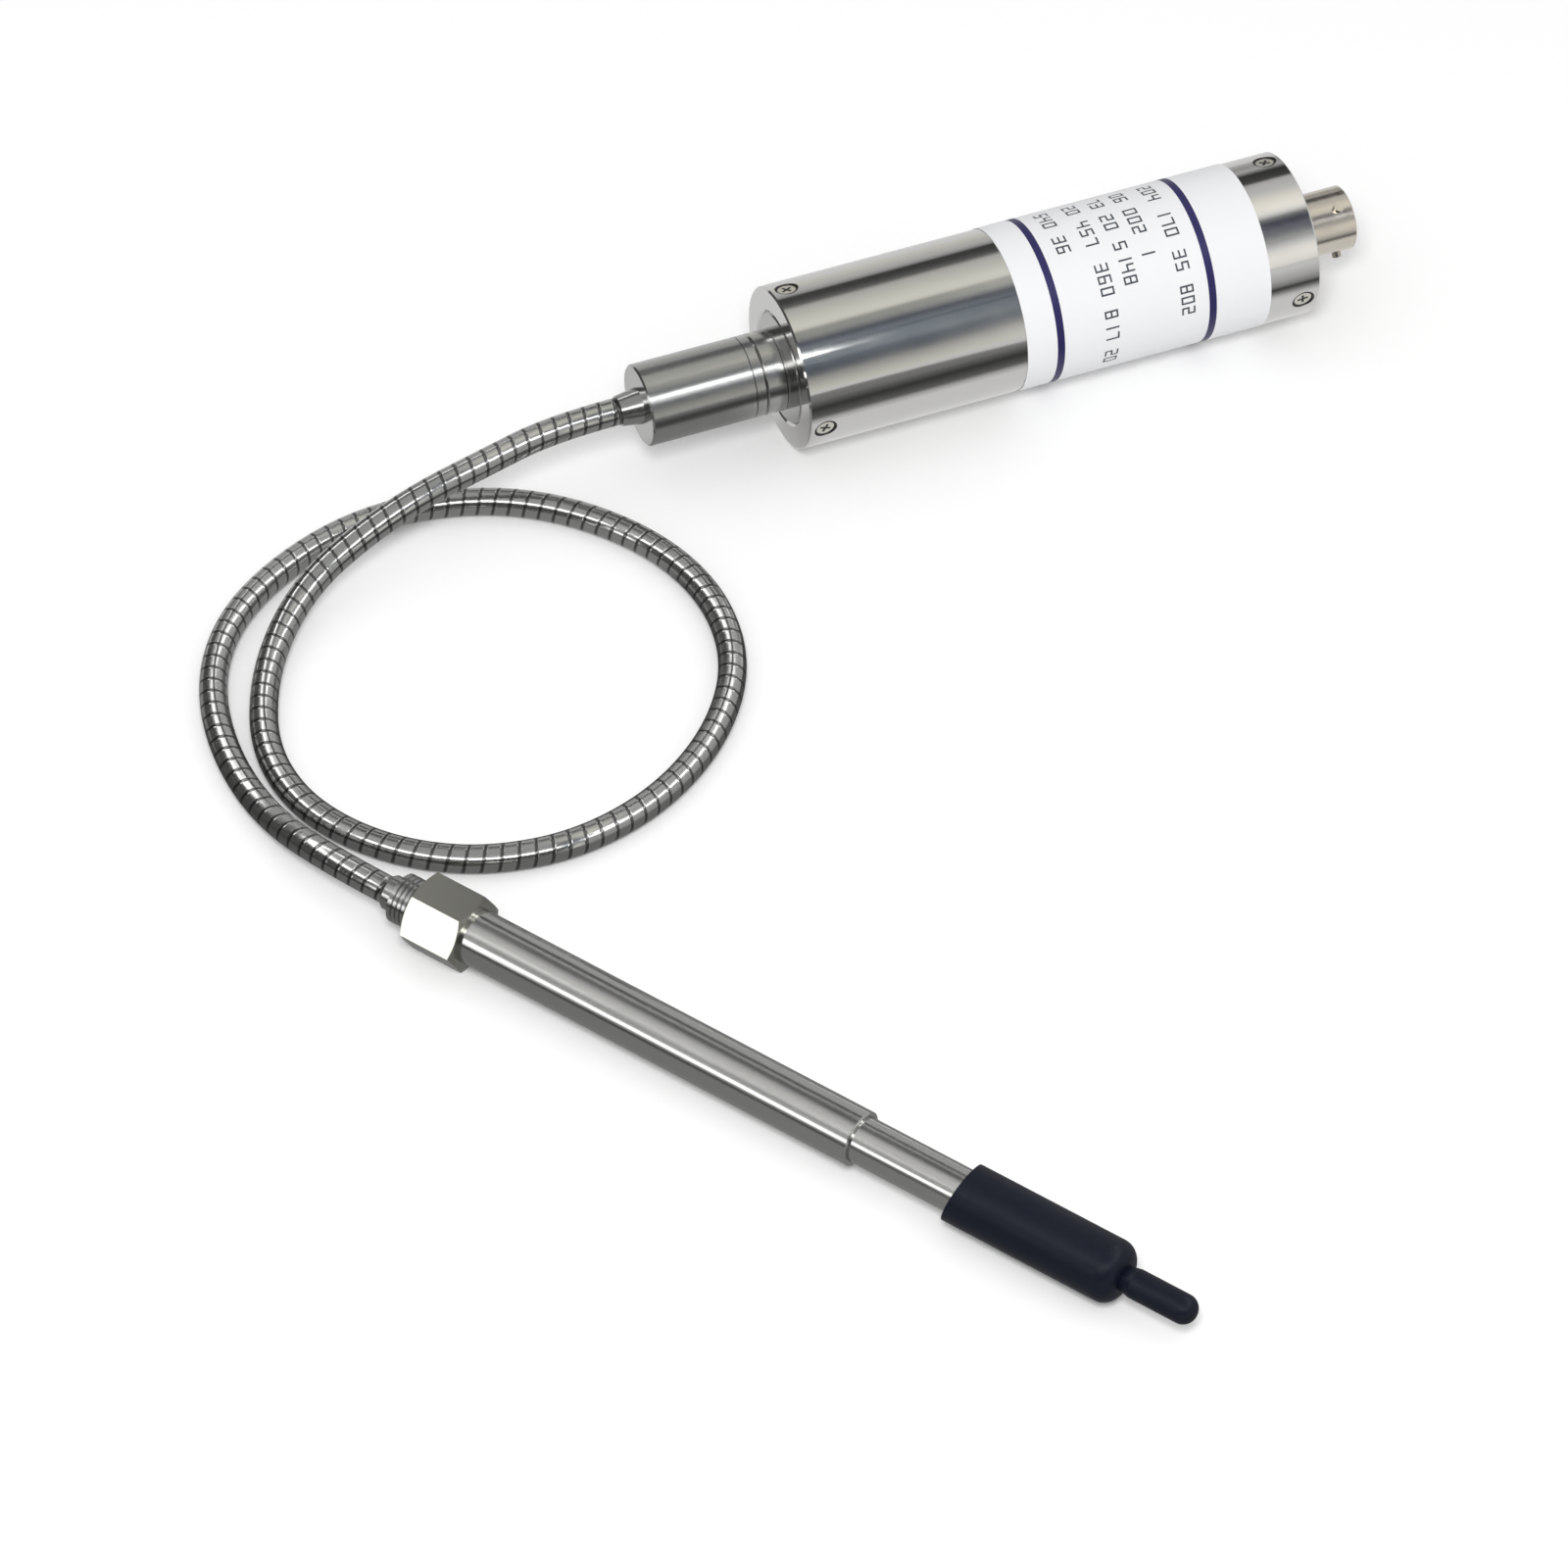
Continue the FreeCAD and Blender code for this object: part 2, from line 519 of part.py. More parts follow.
# ---------------------------------------------------------------- stem, measured from the nut's front face
core = turned("stem_core", [
    ("0 - nut_len + nut_seat", "passage_r"), ("0 - nut_len + nut_seat", "core_r"), ("thread_from", "core_r"),
    ("thread_from + 0.8", "thread_r"), ("thread_from + thread_len - 0.8", "thread_r"),
    ("thread_from + thread_len", "core_r"), ("tip_at - snout_len - seal_cone", "core_r"),
    ("tip_at - snout_len", "snout_r"), ("tip_at", "snout_r"), ("tip_at", "diaphragm_r + plug_gap"),
    ("tip_at - diaphragm_thick", "diaphragm_r + plug_gap"),
    ("tip_at - diaphragm_thick", "diaphragm_r - 0.6"),
    ("tip_at - diaphragm_thick - fill_cavity", "passage_r")])
on_stem(core)
sheath = turned("stem_sheath", [
    ("0 - nut_len + nut_seat", "core_r + core_gap"), ("0 - nut_len + nut_seat", "sheath_r"),
    ("sheath_len - 0.3", "sheath_r"), ("sheath_len", "sheath_r - 0.3"), ("sheath_len", "core_r + core_gap")])
on_stem(sheath)
diaphragm = turned("process_diaphragm", [
    ("tip_at - diaphragm_thick", "0"), ("tip_at - diaphragm_thick", "diaphragm_r"),
    ("tip_at", "diaphragm_r"), ("tip_at", "0")])
on_stem(diaphragm)

nut = make_body("hex_nut")
sketch = sketch_on(nut, "nut_hexagon", "YZ_Plane")
corner = val("nut_half") / math.cos(math.radians(30))
spots = [FreeCAD.Vector(corner * math.cos(math.radians(60 * i)), corner * math.sin(math.radians(60 * i)), 0)
         for i in range(6)]
for i in range(6):
    sketch.addGeometry(Part.LineSegment(spots[i], spots[(i + 1) % 6]), False)
for i in range(6):
    sketch.addConstraint(Sketcher.Constraint("Coincident", i, 2, (i + 1) % 6, 1))
guide = sketch.addGeometry(Part.Circle(FreeCAD.Vector(0, 0, 0), FreeCAD.Vector(0, 0, 1), corner), True)
sketch.addConstraint(Sketcher.Constraint("Coincident", guide, 3, -1, 1))
for i in range(6):
    sketch.addConstraint(Sketcher.Constraint("PointOnObject", i, 1, guide))
for i in range(5):
    sketch.addConstraint(Sketcher.Constraint("Equal", i, i + 1))
sketch.addConstraint(Sketcher.Constraint("Horizontal", 1))
index = sketch.addConstraint(Sketcher.Constraint("Distance", -1, 1, 1, val("nut_half")))
sketch.setExpression("Constraints[%d]" % index, "dims.nut_half")
pad = nut.newObject("PartDesign::Pad", "nut_body")
pad.Profile = sketch
pad.Length = val("nut_len")
pad.setExpression("Length", "dims.nut_len")
pad.Reversed = True
nut.Tip = pad
doc.recompute()
for alias, formula in (("nut_corner", "=nut_half / cos(30 deg)"),
                       ("nut_drop", "=(nut_corner - nut_half) * 0.577"),
                       ("nut_pilot", "=nut_half - 0.25")):
    sheet.set("A%d" % row, alias)
    sheet.set("B%d" % row, formula)
    sheet.setAlias("B%d" % row, alias)
    row += 1
doc.recompute()
NUT_CUTS = (
    [("0 - nut_drop", "nut_corner"), ("0", "nut_pilot"), ("1.0", "nut_pilot"), ("1.0", "nut_corner + 1.0"),
     ("0 - nut_drop", "nut_corner + 1.0")],
    [("0 - nut_len + nut_drop", "nut_corner"), ("0 - nut_len", "nut_pilot"),
     ("0 - nut_len - 1.0", "nut_pilot"), ("0 - nut_len - 1.0", "nut_corner + 1.0"),
     ("0 - nut_len + nut_drop", "nut_corner + 1.0")],
    [("1.0", "0"), ("1.0", "sheath_r + core_gap"), ("0 - nut_len + nut_seat", "sheath_r + core_gap"),
     ("0 - nut_len + nut_seat", "collar_r + core_gap"), ("0 - nut_len - 1.0", "collar_r + core_gap"),
     ("0 - nut_len - 1.0", "0")],
)
for number, groove in enumerate(NUT_CUTS):
    sketch = sketch_on(nut, "nut_cut%d" % (number + 1), "XY_Plane")
    outline(sketch, groove)
    before = nut.Shape.Volume
    turn_about(nut, sketch, (sketch, ["H_Axis"]), cut=True)
    if nut.Shape.Volume >= before:
        raise ValueError("nut cut %d cuts nothing" % (number + 1))
on_stem(nut)

RIBS = 5
for alias, formula in (("rib_pitch", "=collar_len / %d" % RIBS), ("rib_depth", "=rib_pitch * 0.35"),
                       ("rib_half", "=rib_pitch * 0.32")):
    sheet.set("A%d" % row, alias)
    sheet.set("B%d" % row, formula)
    sheet.setAlias("B%d" % row, alias)
    row += 1
doc.recompute()
rib_cuts = []
for i in range(1, RIBS):
    middle = "0 - nut_len" + " - rib_pitch" * i
    rib_cuts.append([(middle, "collar_r - rib_depth"), (middle + " + rib_half", "collar_r + 0.2"),
                     (middle + " - rib_half", "collar_r + 0.2")])
collar = turned("ribbed_collar", [
    ("0 - nut_len + nut_seat - core_gap", "passage_r"), ("0 - nut_len + nut_seat - core_gap", "collar_r"),
    ("0 - nut_len - collar_len", "collar_r"), ("0 - nut_len - collar_len", "passage_r")], rib_cuts)
on_stem(collar)
sleeve = turned("lower_ferrule", [
    ("0 - nut_len - collar_len", "passage_r"), ("0 - nut_len - collar_len", "sleeve_r"),
    ("0 - nut_len - collar_len - sleeve_len + 0.6", "sleeve_r"),
    ("0 - nut_len - collar_len - sleeve_len", "sleeve_r - 0.4"),
    ("0 - nut_len - collar_len - sleeve_len", "passage_r")])
on_stem(sleeve)

# ---------------------------------------------------------------- protective cap
cap = make_body("protective_cap")
sketch = sketch_on(cap, "cap_outside", "XY_Plane")
outline(sketch, [("cap_from", "0"), ("cap_from", "cap_r"), ("cap_shoulder", "cap_r"),
                 ("cap_shoulder", "nub_neck_r"), ("cap_shoulder + nub_flare", "nub_r"), ("cap_end", "nub_r"),
                 ("cap_end", "0")])
turn_about(cap, sketch, (sketch, ["H_Axis"]))


def edges_at(body, x, radius):
    """Names of the circular edges at a station along X with the given radius."""
    found = []
    for number, edge in enumerate(body.Shape.Edges):
        box = edge.BoundBox
        flat = abs(box.XMin - x) < 1e-4 and abs(box.XMax - x) < 1e-4
        if flat and abs(box.YMax - radius) < 1e-4:
            found.append("Edge%d" % (number + 1))
    return found


base = cap.Tip
fillet = cap.newObject("PartDesign::Fillet", "cap_shoulder_round")
fillet.Base = (base, edges_at(base, val("cap_shoulder"), val("cap_r")))
fillet.Radius = val("cap_round")
fillet.setExpression("Radius", "dims.cap_round")
cap.Tip = fillet
doc.recompute()
base = cap.Tip
fillet = cap.newObject("PartDesign::Fillet", "nub_round")
fillet.Base = (base, edges_at(base, val("cap_end"), val("nub_r")))
fillet.Radius = val("nub_r") - 0.2
fillet.setExpression("Radius", "dims.nub_r - 0.2")
cap.Tip = fillet
doc.recompute()
sketch = sketch_on(cap, "cap_inside", "XY_Plane")
outline(sketch, [("cap_from - 1.0", "0"), ("cap_from - 1.0", "cap_in_r"),
                 ("cap_shoulder - cap_base - 2.0", "cap_in_r"), ("cap_shoulder - cap_base", "cap_in_r - 2.0"),
                 ("cap_shoulder - cap_base", "0")])
solid = cap.Shape.Volume
turn_about(cap, sketch, (sketch, ["H_Axis"]), cut=True)
if cap.Shape.Volume >= solid:
    raise ValueError("cap bore cuts nothing")
# The lip is cut on the slant, shorter on the upper side.
sketch = sketch_on(cap, "cap_lip", "XZ_Plane")
outline(sketch, [("cap_from", "0 - cap_r"), ("cap_from + cap_slant", "cap_r"), ("cap_from - 1.0", "cap_r"),
                 ("cap_from - 1.0", "0 - cap_r")])
solid = cap.Shape.Volume
pocket = cap.newObject("PartDesign::Pocket", "cap_lip_cut")
pocket.Profile = sketch
pocket.Type = "ThroughAll"
pocket.Midplane = True
cap.Tip = pocket
doc.recompute()
if cap.Shape.Volume >= solid:
    raise ValueError("cap lip cuts nothing")
on_stem(cap)

# ---------------------------------------------------------------- conduit and the capillary inside it
FLOOR = val("conduit_r") - val("label_r")
start_x = -val("bare_mid") - val("neck_len") - val("cone_len")
stem_turn = math.radians(val("stem_angle"))
stem_dir = FreeCAD.Vector(math.cos(stem_turn), math.sin(stem_turn), 0)
stem_base = FreeCAD.Vector(val("stem_x"), val("stem_y"), val("stem_z"))
end = stem_base - stem_dir * (val("nut_len") + val("collar_len") + val("sleeve_len"))
before_end = end - stem_dir * val("lead_out")

# Corner points of the conduit; X is measured from the end of the upper ferrule.
ROUTE = [
    (-16.0, 0.0, 0.0), (-34.9, -4.7, -0.6), (-51.3, -7.8, -2.2), (-66.0, -10.8, -6.6),
    (-78.6, -15.0, -11.2), (-89.6, -24.0, -14.8), (-99.0, -38.8, FLOOR + 0.2), (-105.0, -56.8, FLOOR),
    (-104.1, -73.8, FLOOR), (-97.5, -88.0, FLOOR), (-86.3, -99.9, FLOOR), (-71.1, -107.9, FLOOR),
    (-51.4, -110.2, FLOOR), (-30.1, -104.0, FLOOR), (-11.7, -90.2, FLOOR), (0.8, -71.5, FLOOR),
    (4.2, -50.4, FLOOR), (-0.6, -30.6, FLOOR), (-12.6, -13.4, FLOOR), (-28.2, -1.6, FLOOR),
    (-46.5, 3.6, FLOOR), (-65.8, 2.6, FLOOR), (-84.8, -5.2, FLOOR), (-100.1, -17.2, FLOOR),
    (-110.0, -34.3, FLOOR), (-113.8, -55.6, FLOOR), (-111.8, -77.2, FLOOR + 0.3),
]


def tangent_path(corners, lead=None, tail=None):
    """A wire of straight runs joined by tangent arcs, with optional straight ends."""
    edges = []
    at = corners[0] if lead is None else lead
    radii = []
    for before, here, after in zip(corners, corners[1:], corners[2:]):
        inward = (before - here).normalize()
        outward = (after - here).normalize()
        turn = math.pi - inward.getAngle(outward)
        run = min((before - here).Length, (after - here).Length)
        trim = 0.45 * run
        radii.append(trim / math.tan(turn / 2))
        first = here + (before - here).normalize() * trim
        last = here + (after - here).normalize() * trim
        bisector = ((before - here).normalize() + (after - here).normalize()).normalize()
        centre_gap = radii[-1] / math.cos(turn / 2)
        middle = here + bisector * (centre_gap - radii[-1])
        edges.append(Part.LineSegment(at, first).toShape())
        edges.append(Part.Arc(first, middle, last).toShape())
        at = last
    edges.append(Part.LineSegment(at, corners[-1] if tail is None else tail).toShape())
    return Part.Wire(edges), radii


corners = [FreeCAD.Vector(start_x, 0, 0)]
corners += [FreeCAD.Vector(start_x + x, y, z) for x, y, z in ROUTE]
corners += [before_end, end]
path, radii = tangent_path(corners)
print("conduit radii", " ".join("%.0f" % r for r in radii))
print("conduit runs", " ".join("%.1f" % (b - a).Length for a, b in zip(corners, corners[1:])))


def swept(wire, centre, direction, radius):
    circle = Part.Circle(centre, direction, radius).toShape()
    return wire.makePipeShell([Part.Wire([circle])], True, False)


def tube_along(label, wire, centre, direction, outer, inner):
    shape = swept(wire, centre, direction, outer)
    if inner > 0:
        shape = shape.cut(swept(wire, centre, direction, inner))
    expected = math.pi * (outer ** 2 - inner ** 2) * wire.Length
    if abs(shape.Volume / expected - 1) > 0.01:
        raise ValueError("%s volume %.1f against %.1f" % (label, shape.Volume, expected))
    feature = doc.addObject("Part::Feature", label)
    feature.Label = label
    feature.Shape = shape
    print(label, "length %.1f volume %.1f expected %.1f" % (wire.Length, shape.Volume, expected))
    return feature


conduit = tube_along("flexible_conduit", path, corners[0], FreeCAD.Vector(-1, 0, 0),
                     val("conduit_r"), val("conduit_bore_r"))
capillary_start = FreeCAD.Vector(-val("bare_mid") - val("capsule_back") - val("capsule_len"), 0, 0)
capillary_end = stem_base + stem_dir * (val("tip_at") - val("diaphragm_thick") - val("fill_cavity"))
capillary_path, unused = tangent_path(corners, capillary_start, capillary_end)
capillary = tube_along("filled_capillary", capillary_path, capillary_start, FreeCAD.Vector(-1, 0, 0),
                       val("capillary_r"), 0.0)

# ---------------------------------------------------------------- check and write
doc.recompute()
BODIES = [o for o in doc.Objects if o.TypeId == "PartDesign::Body"] + [conduit, capillary]
for thing in doc.Objects:
    if "Invalid" in thing.State or "Error" in thing.State:
        raise ValueError("%s is %s" % (thing.Name, thing.State))
for thing in BODIES:
    shape = thing.Shape
    if shape.isNull() or not shape.isValid() or not shape.Solids:
        raise ValueError(thing.Label + " has no valid solid")
    shape.exportStep("parts/%s.step" % thing.Label)
    box = shape.BoundBox
    spans = (box.XMin, box.XMax, box.YMin, box.YMax, box.ZMin, box.ZMax)
    print("%-26s solids %d vol %9.1f" % (thing.Label, len(shape.Solids), shape.Volume),
          " x %.1f..%.1f y %.1f..%.1f z %.1f..%.1f" % spans)
print("pieces", len(BODIES))
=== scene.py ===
import bpy
import math
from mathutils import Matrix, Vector


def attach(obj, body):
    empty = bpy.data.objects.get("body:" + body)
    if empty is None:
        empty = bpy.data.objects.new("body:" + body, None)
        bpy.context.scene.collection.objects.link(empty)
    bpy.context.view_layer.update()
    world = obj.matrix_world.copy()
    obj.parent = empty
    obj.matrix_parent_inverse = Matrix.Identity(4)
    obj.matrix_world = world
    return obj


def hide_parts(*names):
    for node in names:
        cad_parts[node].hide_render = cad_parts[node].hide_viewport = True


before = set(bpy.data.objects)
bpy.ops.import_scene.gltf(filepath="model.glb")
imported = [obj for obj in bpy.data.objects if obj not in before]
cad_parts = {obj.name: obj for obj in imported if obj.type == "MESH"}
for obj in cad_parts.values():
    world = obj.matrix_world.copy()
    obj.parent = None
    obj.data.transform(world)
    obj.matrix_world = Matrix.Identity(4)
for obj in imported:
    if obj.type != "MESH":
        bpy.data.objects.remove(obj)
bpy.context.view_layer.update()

scene = bpy.context.scene
MM = 0.001
WHITE = (1.0, 1.0, 1.0, 1.0)

# ------------------------------------------------------------------ sizes shared with the solids, mm
HOUSING_LEN = 126.0
FACE_X = -32.9
NECK_LEN = 34.1
CONE_LEN = 5.0
CONE_END = FACE_X - NECK_LEN - CONE_LEN
LABEL_R = 19.20
FLOOR_Z = -LABEL_R
CONDUIT_R = 3.175
NUT_FLATS = 15.88
NUT_LEN = 14.0
COLLAR_LEN = 5.8
SLEEVE_LEN = 3.4
FITTING_LEN = NUT_LEN + COLLAR_LEN + SLEEVE_LEN
STEM_TURN = math.radians(-57.38)
STEM_DIR = Vector((math.cos(STEM_TURN), math.sin(STEM_TURN), 0))
STEM_SIDE = Vector((math.sin(STEM_TURN), -math.cos(STEM_TURN), 0))
STEM_BASE = Vector((-155.43, -132.27, NUT_FLATS / 2 - LABEL_R))
LEAD_OUT = 16.0

# ------------------------------------------------------------------ camera
TARGET = Vector((-74.1, -106.5, FLOOR_Z)) * MM
EYE = Vector((-571.0, -1354.7, 1324.3)) * MM
FOCAL_LENGTH = 199.2
SENSOR_WIDTH = 36.0
FARTHEST = 20.0
camera_data = bpy.data.cameras.new("camera")
camera_data.lens = FOCAL_LENGTH
camera_data.sensor_width = SENSOR_WIDTH
camera_data.clip_end = FARTHEST
camera = bpy.data.objects.new("camera", camera_data)
camera.location = EYE
camera.rotation_euler = (TARGET - EYE).to_track_quat("-Z", "Y").to_euler()
scene.collection.objects.link(camera)
scene.camera = camera
scene.view_settings.view_transform = "Standard"

# ------------------------------------------------------------------ conduit route
# From the cone at the neck: down to the floor, round one loop laid flat, and in line with the stem.
# Millimetres from the cone's end.
CORD_Z = CONDUIT_R - LABEL_R
RISE = [(0.0, 0.0, 0.0), (-16.0, 0.0, 0.0), (-34.9, -4.7, -0.6), (-51.3, -7.8, -2.2), (-66.0, -10.8, -6.6),
        (-78.6, -15.0, -11.2), (-89.6, -24.0, -14.8), (-99.0, -38.8, CORD_Z + 0.2)]
LOOP = [(-105.0, -56.8), (-104.1, -73.8), (-97.5, -88.0), (-86.3, -99.9), (-71.1, -107.9), (-51.4, -110.2),
        (-30.1, -104.0), (-11.7, -90.2), (0.8, -71.5), (4.2, -50.4), (-0.6, -30.6), (-12.6, -13.4),
        (-28.2, -1.6), (-46.5, 3.6), (-65.8, 2.6), (-84.8, -5.2), (-100.1, -17.2), (-110.0, -34.3),
        (-113.8, -55.6)]
LAST = (-111.8, -77.2, CORD_Z + 0.3)
CHORDS_PER_SPAN = 24


def conduit_route():
    """The smooth line through the route's control points, as many short chords, in metres."""
    corners = RISE + [(x, y, CORD_Z) for x, y in LOOP] + [LAST]
    route = [Vector((CONE_END + x, y, z)) for x, y, z in corners]
    end = STEM_BASE - STEM_DIR * FITTING_LEN
    route += [end - STEM_DIR * LEAD_OUT, end]
    curve = bpy.data.curves.new("conduit_route", "CURVE")
    curve.dimensions = "3D"
    curve.resolution_u = CHORDS_PER_SPAN
    spline = curve.splines.new("NURBS")
    spline.points.add(len(route) - 1)
    for point, place in zip(spline.points, route):
        point.co = (place.x * MM, place.y * MM, place.z * MM, 1.0)
    spline.order_u = 3
    spline.use_endpoint_u = True
    holder = bpy.data.objects.new("conduit_route", curve)
    line = [v.co.copy() for v in bpy.data.meshes.new_from_object(holder).vertices]
    bpy.data.objects.remove(holder)
    return line


def resample(points, step):
    """Points at even steps along a chain of points, with the unit direction at each."""
    lengths = [0.0]
    for a, b in zip(points, points[1:]):
        lengths.append(lengths[-1] + (b - a).length)
    total = lengths[-1]
    count = max(2, int(round(total / step)))
    places = []
    k = 0
    for i in range(count + 1):
        s = total * i / count
        while k < len(points) - 2 and lengths[k + 1] < s:
            k += 1
        gap = lengths[k + 1] - lengths[k]
        places.append(points[k].lerp(points[k + 1], (s - lengths[k]) / gap if gap else 0.0))
    ways = []
    for i in range(count + 1):
        ways.append((places[min(i + 1, count)] - places[max(i - 1, 0)]).normalized())
    return places, ways, total


# ------------------------------------------------------------------ helpers for shader nodes
class Graph:
    """Adds nodes to one tree.  Its methods take numbers or sockets and return output sockets."""

    def __init__(self, tree):
        self.nodes = tree.nodes
        self.links = tree.links

    def add(self, kind, **settings):
        node = self.nodes.new("ShaderNode" + kind)
        for key, value in settings.items():
            setattr(node, key, value)
        return node

    def feed(self, socket, value):
        if hasattr(value, "is_output"):
            self.links.new(value, socket)
        else:
            socket.default_value = value

    def calc(self, kind, a, b=0.0):
        node = self.add("Math", operation=kind)
        self.feed(node.inputs[0], a)
        self.feed(node.inputs[1], b)
        return node.outputs[0]

    def step(self, value, low, high):
        """A smooth rise from 0 at low to 1 at high."""
        node = self.add("MapRange", interpolation_type="SMOOTHSTEP")
        self.feed(node.inputs["Value"], value)
        node.inputs["From Min"].default_value = low
        node.inputs["From Max"].default_value = high
        return node.outputs["Result"]

    def outside(self, value):
        """One less a value."""
        return self.calc("SUBTRACT", 1.0, value)

    def span(self, value, a, b, c, d):
        """A smooth rise from a to b and fall from c to d."""
        return self.calc("MULTIPLY", self.step(value, a, b), self.outside(self.step(value, c, d)))

    def blend(self, share, a, b):
        """Colour a, or colour b where the share is 1."""
        node = self.add("Mix", data_type="RGBA")
        self.feed(node.inputs[0], share)
        self.feed(node.inputs[6], a)
        self.feed(node.inputs[7], b)
        return node.outputs[2]

    def ramp(self, value, low, high, stops):
        """A colour ramp over low..high; each stop is a place and a level or three levels."""
        spread = self.add("MapRange")
        spread.inputs["From Min"].default_value = low
        spread.inputs["From Max"].default_value = high
        self.feed(spread.inputs["Value"], value)
        node = self.add("ValToRGB")
        elements = node.color_ramp.elements
        elements.remove(elements[-1])
        for number, (place, *level) in enumerate(stops):
            spot = (place - low) / (high - low)
            stop = elements[0] if number == 0 else elements.new(spot)
            stop.position = spot
            r, g, b = level if len(level) == 3 else level * 3
            stop.color = (r, g, b, 1.0)
        self.links.new(spread.outputs["Result"], node.inputs["Fac"])
        return node.outputs["Color"]

    def split(self, vector):
        node = self.add("SeparateXYZ")
        self.links.new(vector, node.inputs[0])
        return [node.outputs[axis] for axis in "XYZ"]


def grey(level):
    return (level, level, level, 1.0)


# ------------------------------------------------------------------ materials
def surface_of(made):
    return made.node_tree.nodes["Principled BSDF"]


def material(name, color, metallic, roughness, specular=None):
    made = bpy.data.materials.new(name)
    made.use_nodes = True
    shader = surface_of(made)
    shader.inputs["Base Color"].default_value = (*color, 1.0)
    shader.inputs["Metallic"].default_value = metallic
    shader.inputs["Roughness"].default_value = roughness
    if specular is not None:
        shader.inputs["Specular IOR Level"].default_value = specular
    return made


GRAIN_DETAIL = 3.0


def grain(made, scale, strength, depth, rough, stretch=(1, 1, 1), turn=0.0):
    """Fine surface relief and a spread of roughness, in the piece's own coordinates."""
    graph = Graph(made.node_tree)
    shader = surface_of(made)
    where = graph.add("TexCoord")
    mapping = graph.add("Mapping", vector_type="TEXTURE")
    mapping.inputs["Rotation"].default_value = (0, 0, turn)
    mapping.inputs["Scale"].default_value = stretch
    noise = graph.add("TexNoise")
    noise.inputs["Scale"].default_value = scale
    noise.inputs["Detail"].default_value = GRAIN_DETAIL
    bump = graph.add("Bump")
    bump.inputs["Strength"].default_value = strength
    bump.inputs["Distance"].default_value = depth
    spread = graph.add("MapRange")
    spread.inputs["To Min"].default_value = rough[0]
    spread.inputs["To Max"].default_value = rough[1]
    graph.feed(mapping.inputs["Vector"], where.outputs["Object"])
    graph.feed(noise.inputs["Vector"], mapping.outputs["Vector"])
    graph.feed(bump.inputs["Height"], noise.outputs["Fac"])
    graph.feed(shader.inputs["Normal"], bump.outputs["Normal"])
    graph.feed(spread.inputs["Value"], noise.outputs["Fac"])
    graph.feed(shader.inputs["Roughness"], spread.outputs["Result"])


# Steels, from the near mirror of the housing to the duller turned pieces.
polished = material("polished_steel", (0.62, 0.615, 0.60), 1.0, 0.09)
grain(polished, 60.0, 0.04, 0.0003, (0.06, 0.13))
turned = material("turned_steel", (0.44, 0.44, 0.43), 1.0, 0.20)
grain(turned, 900.0, 0.06, 0.0001, (0.15, 0.24), stretch=(0.15, 6, 6))
stem_steel = material("stem_steel", (0.58, 0.58, 0.56), 1.0, 0.17)
grain(stem_steel, 500.0, 0.05, 0.0001, (0.13, 0.22), stretch=(14, 0.5, 0.5), turn=STEM_TURN)
nut_steel = material("nut_steel", (0.48, 0.475, 0.43), 1.0, 0.13)
screw_steel = material("screw_steel", (0.62, 0.60, 0.54), 1.0, 0.22)
# Painted shade for the screws' rims and cross recesses.
painted_screw_shade = material("slot_shade", (0.03, 0.03, 0.03), 0.6, 0.5)
nickel = material("nickel_shell", (0.62, 0.58, 0.51), 1.0, 0.17)
grain(nickel, 400.0, 0.05, 0.0001, (0.12, 0.22))

# Label, its print, and the soft cap.
label_white = material("label_white", (0.82, 0.824, 0.836), 0.0, 0.45, specular=0.2)
navy = material("label_navy", (0.012, 0.008, 0.085), 0.0, 0.45)
ink = material("label_ink", (0.045, 0.055, 0.07), 0.0, 0.4)
vinyl = material("cap_vinyl", (0.005, 0.007, 0.015), 0.0, 0.36, specular=0.22)
grain(vinyl, 220.0, 0.15, 0.0004, (0.30, 0.46))

# Pieces inside the housing and the connector.
rubber = material("seal_rubber", (0.012, 0.012, 0.012), 0.0, 0.6)
insulator = material("contact_insulator", (0.02, 0.02, 0.02), 0.0, 0.5)
gold = material("gold_contact", (0.83, 0.62, 0.26), 1.0, 0.22)
nylon = material("carrier_nylon", (0.62, 0.60, 0.54), 0.0, 0.5)
board_green = material("board_green", (0.02, 0.11, 0.04), 0.0, 0.35)
chip_black = material("chip_black", (0.015, 0.015, 0.015), 0.0, 0.45)
trimmer_blue = material("trimmer_blue", (0.02, 0.08, 0.32), 0.0, 0.35)
can_metal = material("can_aluminium", (0.78, 0.78, 0.79), 1.0, 0.25)

# The conduit's strip, and its seams in shares of a turn from the strip's middle.
STRIP_COLOUR = (0.50, 0.50, 0.49)
# The seams' dark colour is painted shade of the groove; the slight sinking is bump relief.
SEAM_SHADE_COLOUR = (0.14, 0.14, 0.14)
SEAM_FROM = 0.36
SEAM_TO = 0.44
SEAM_DEPTH = 0.0002
SEAM_STRENGTH = 0.2


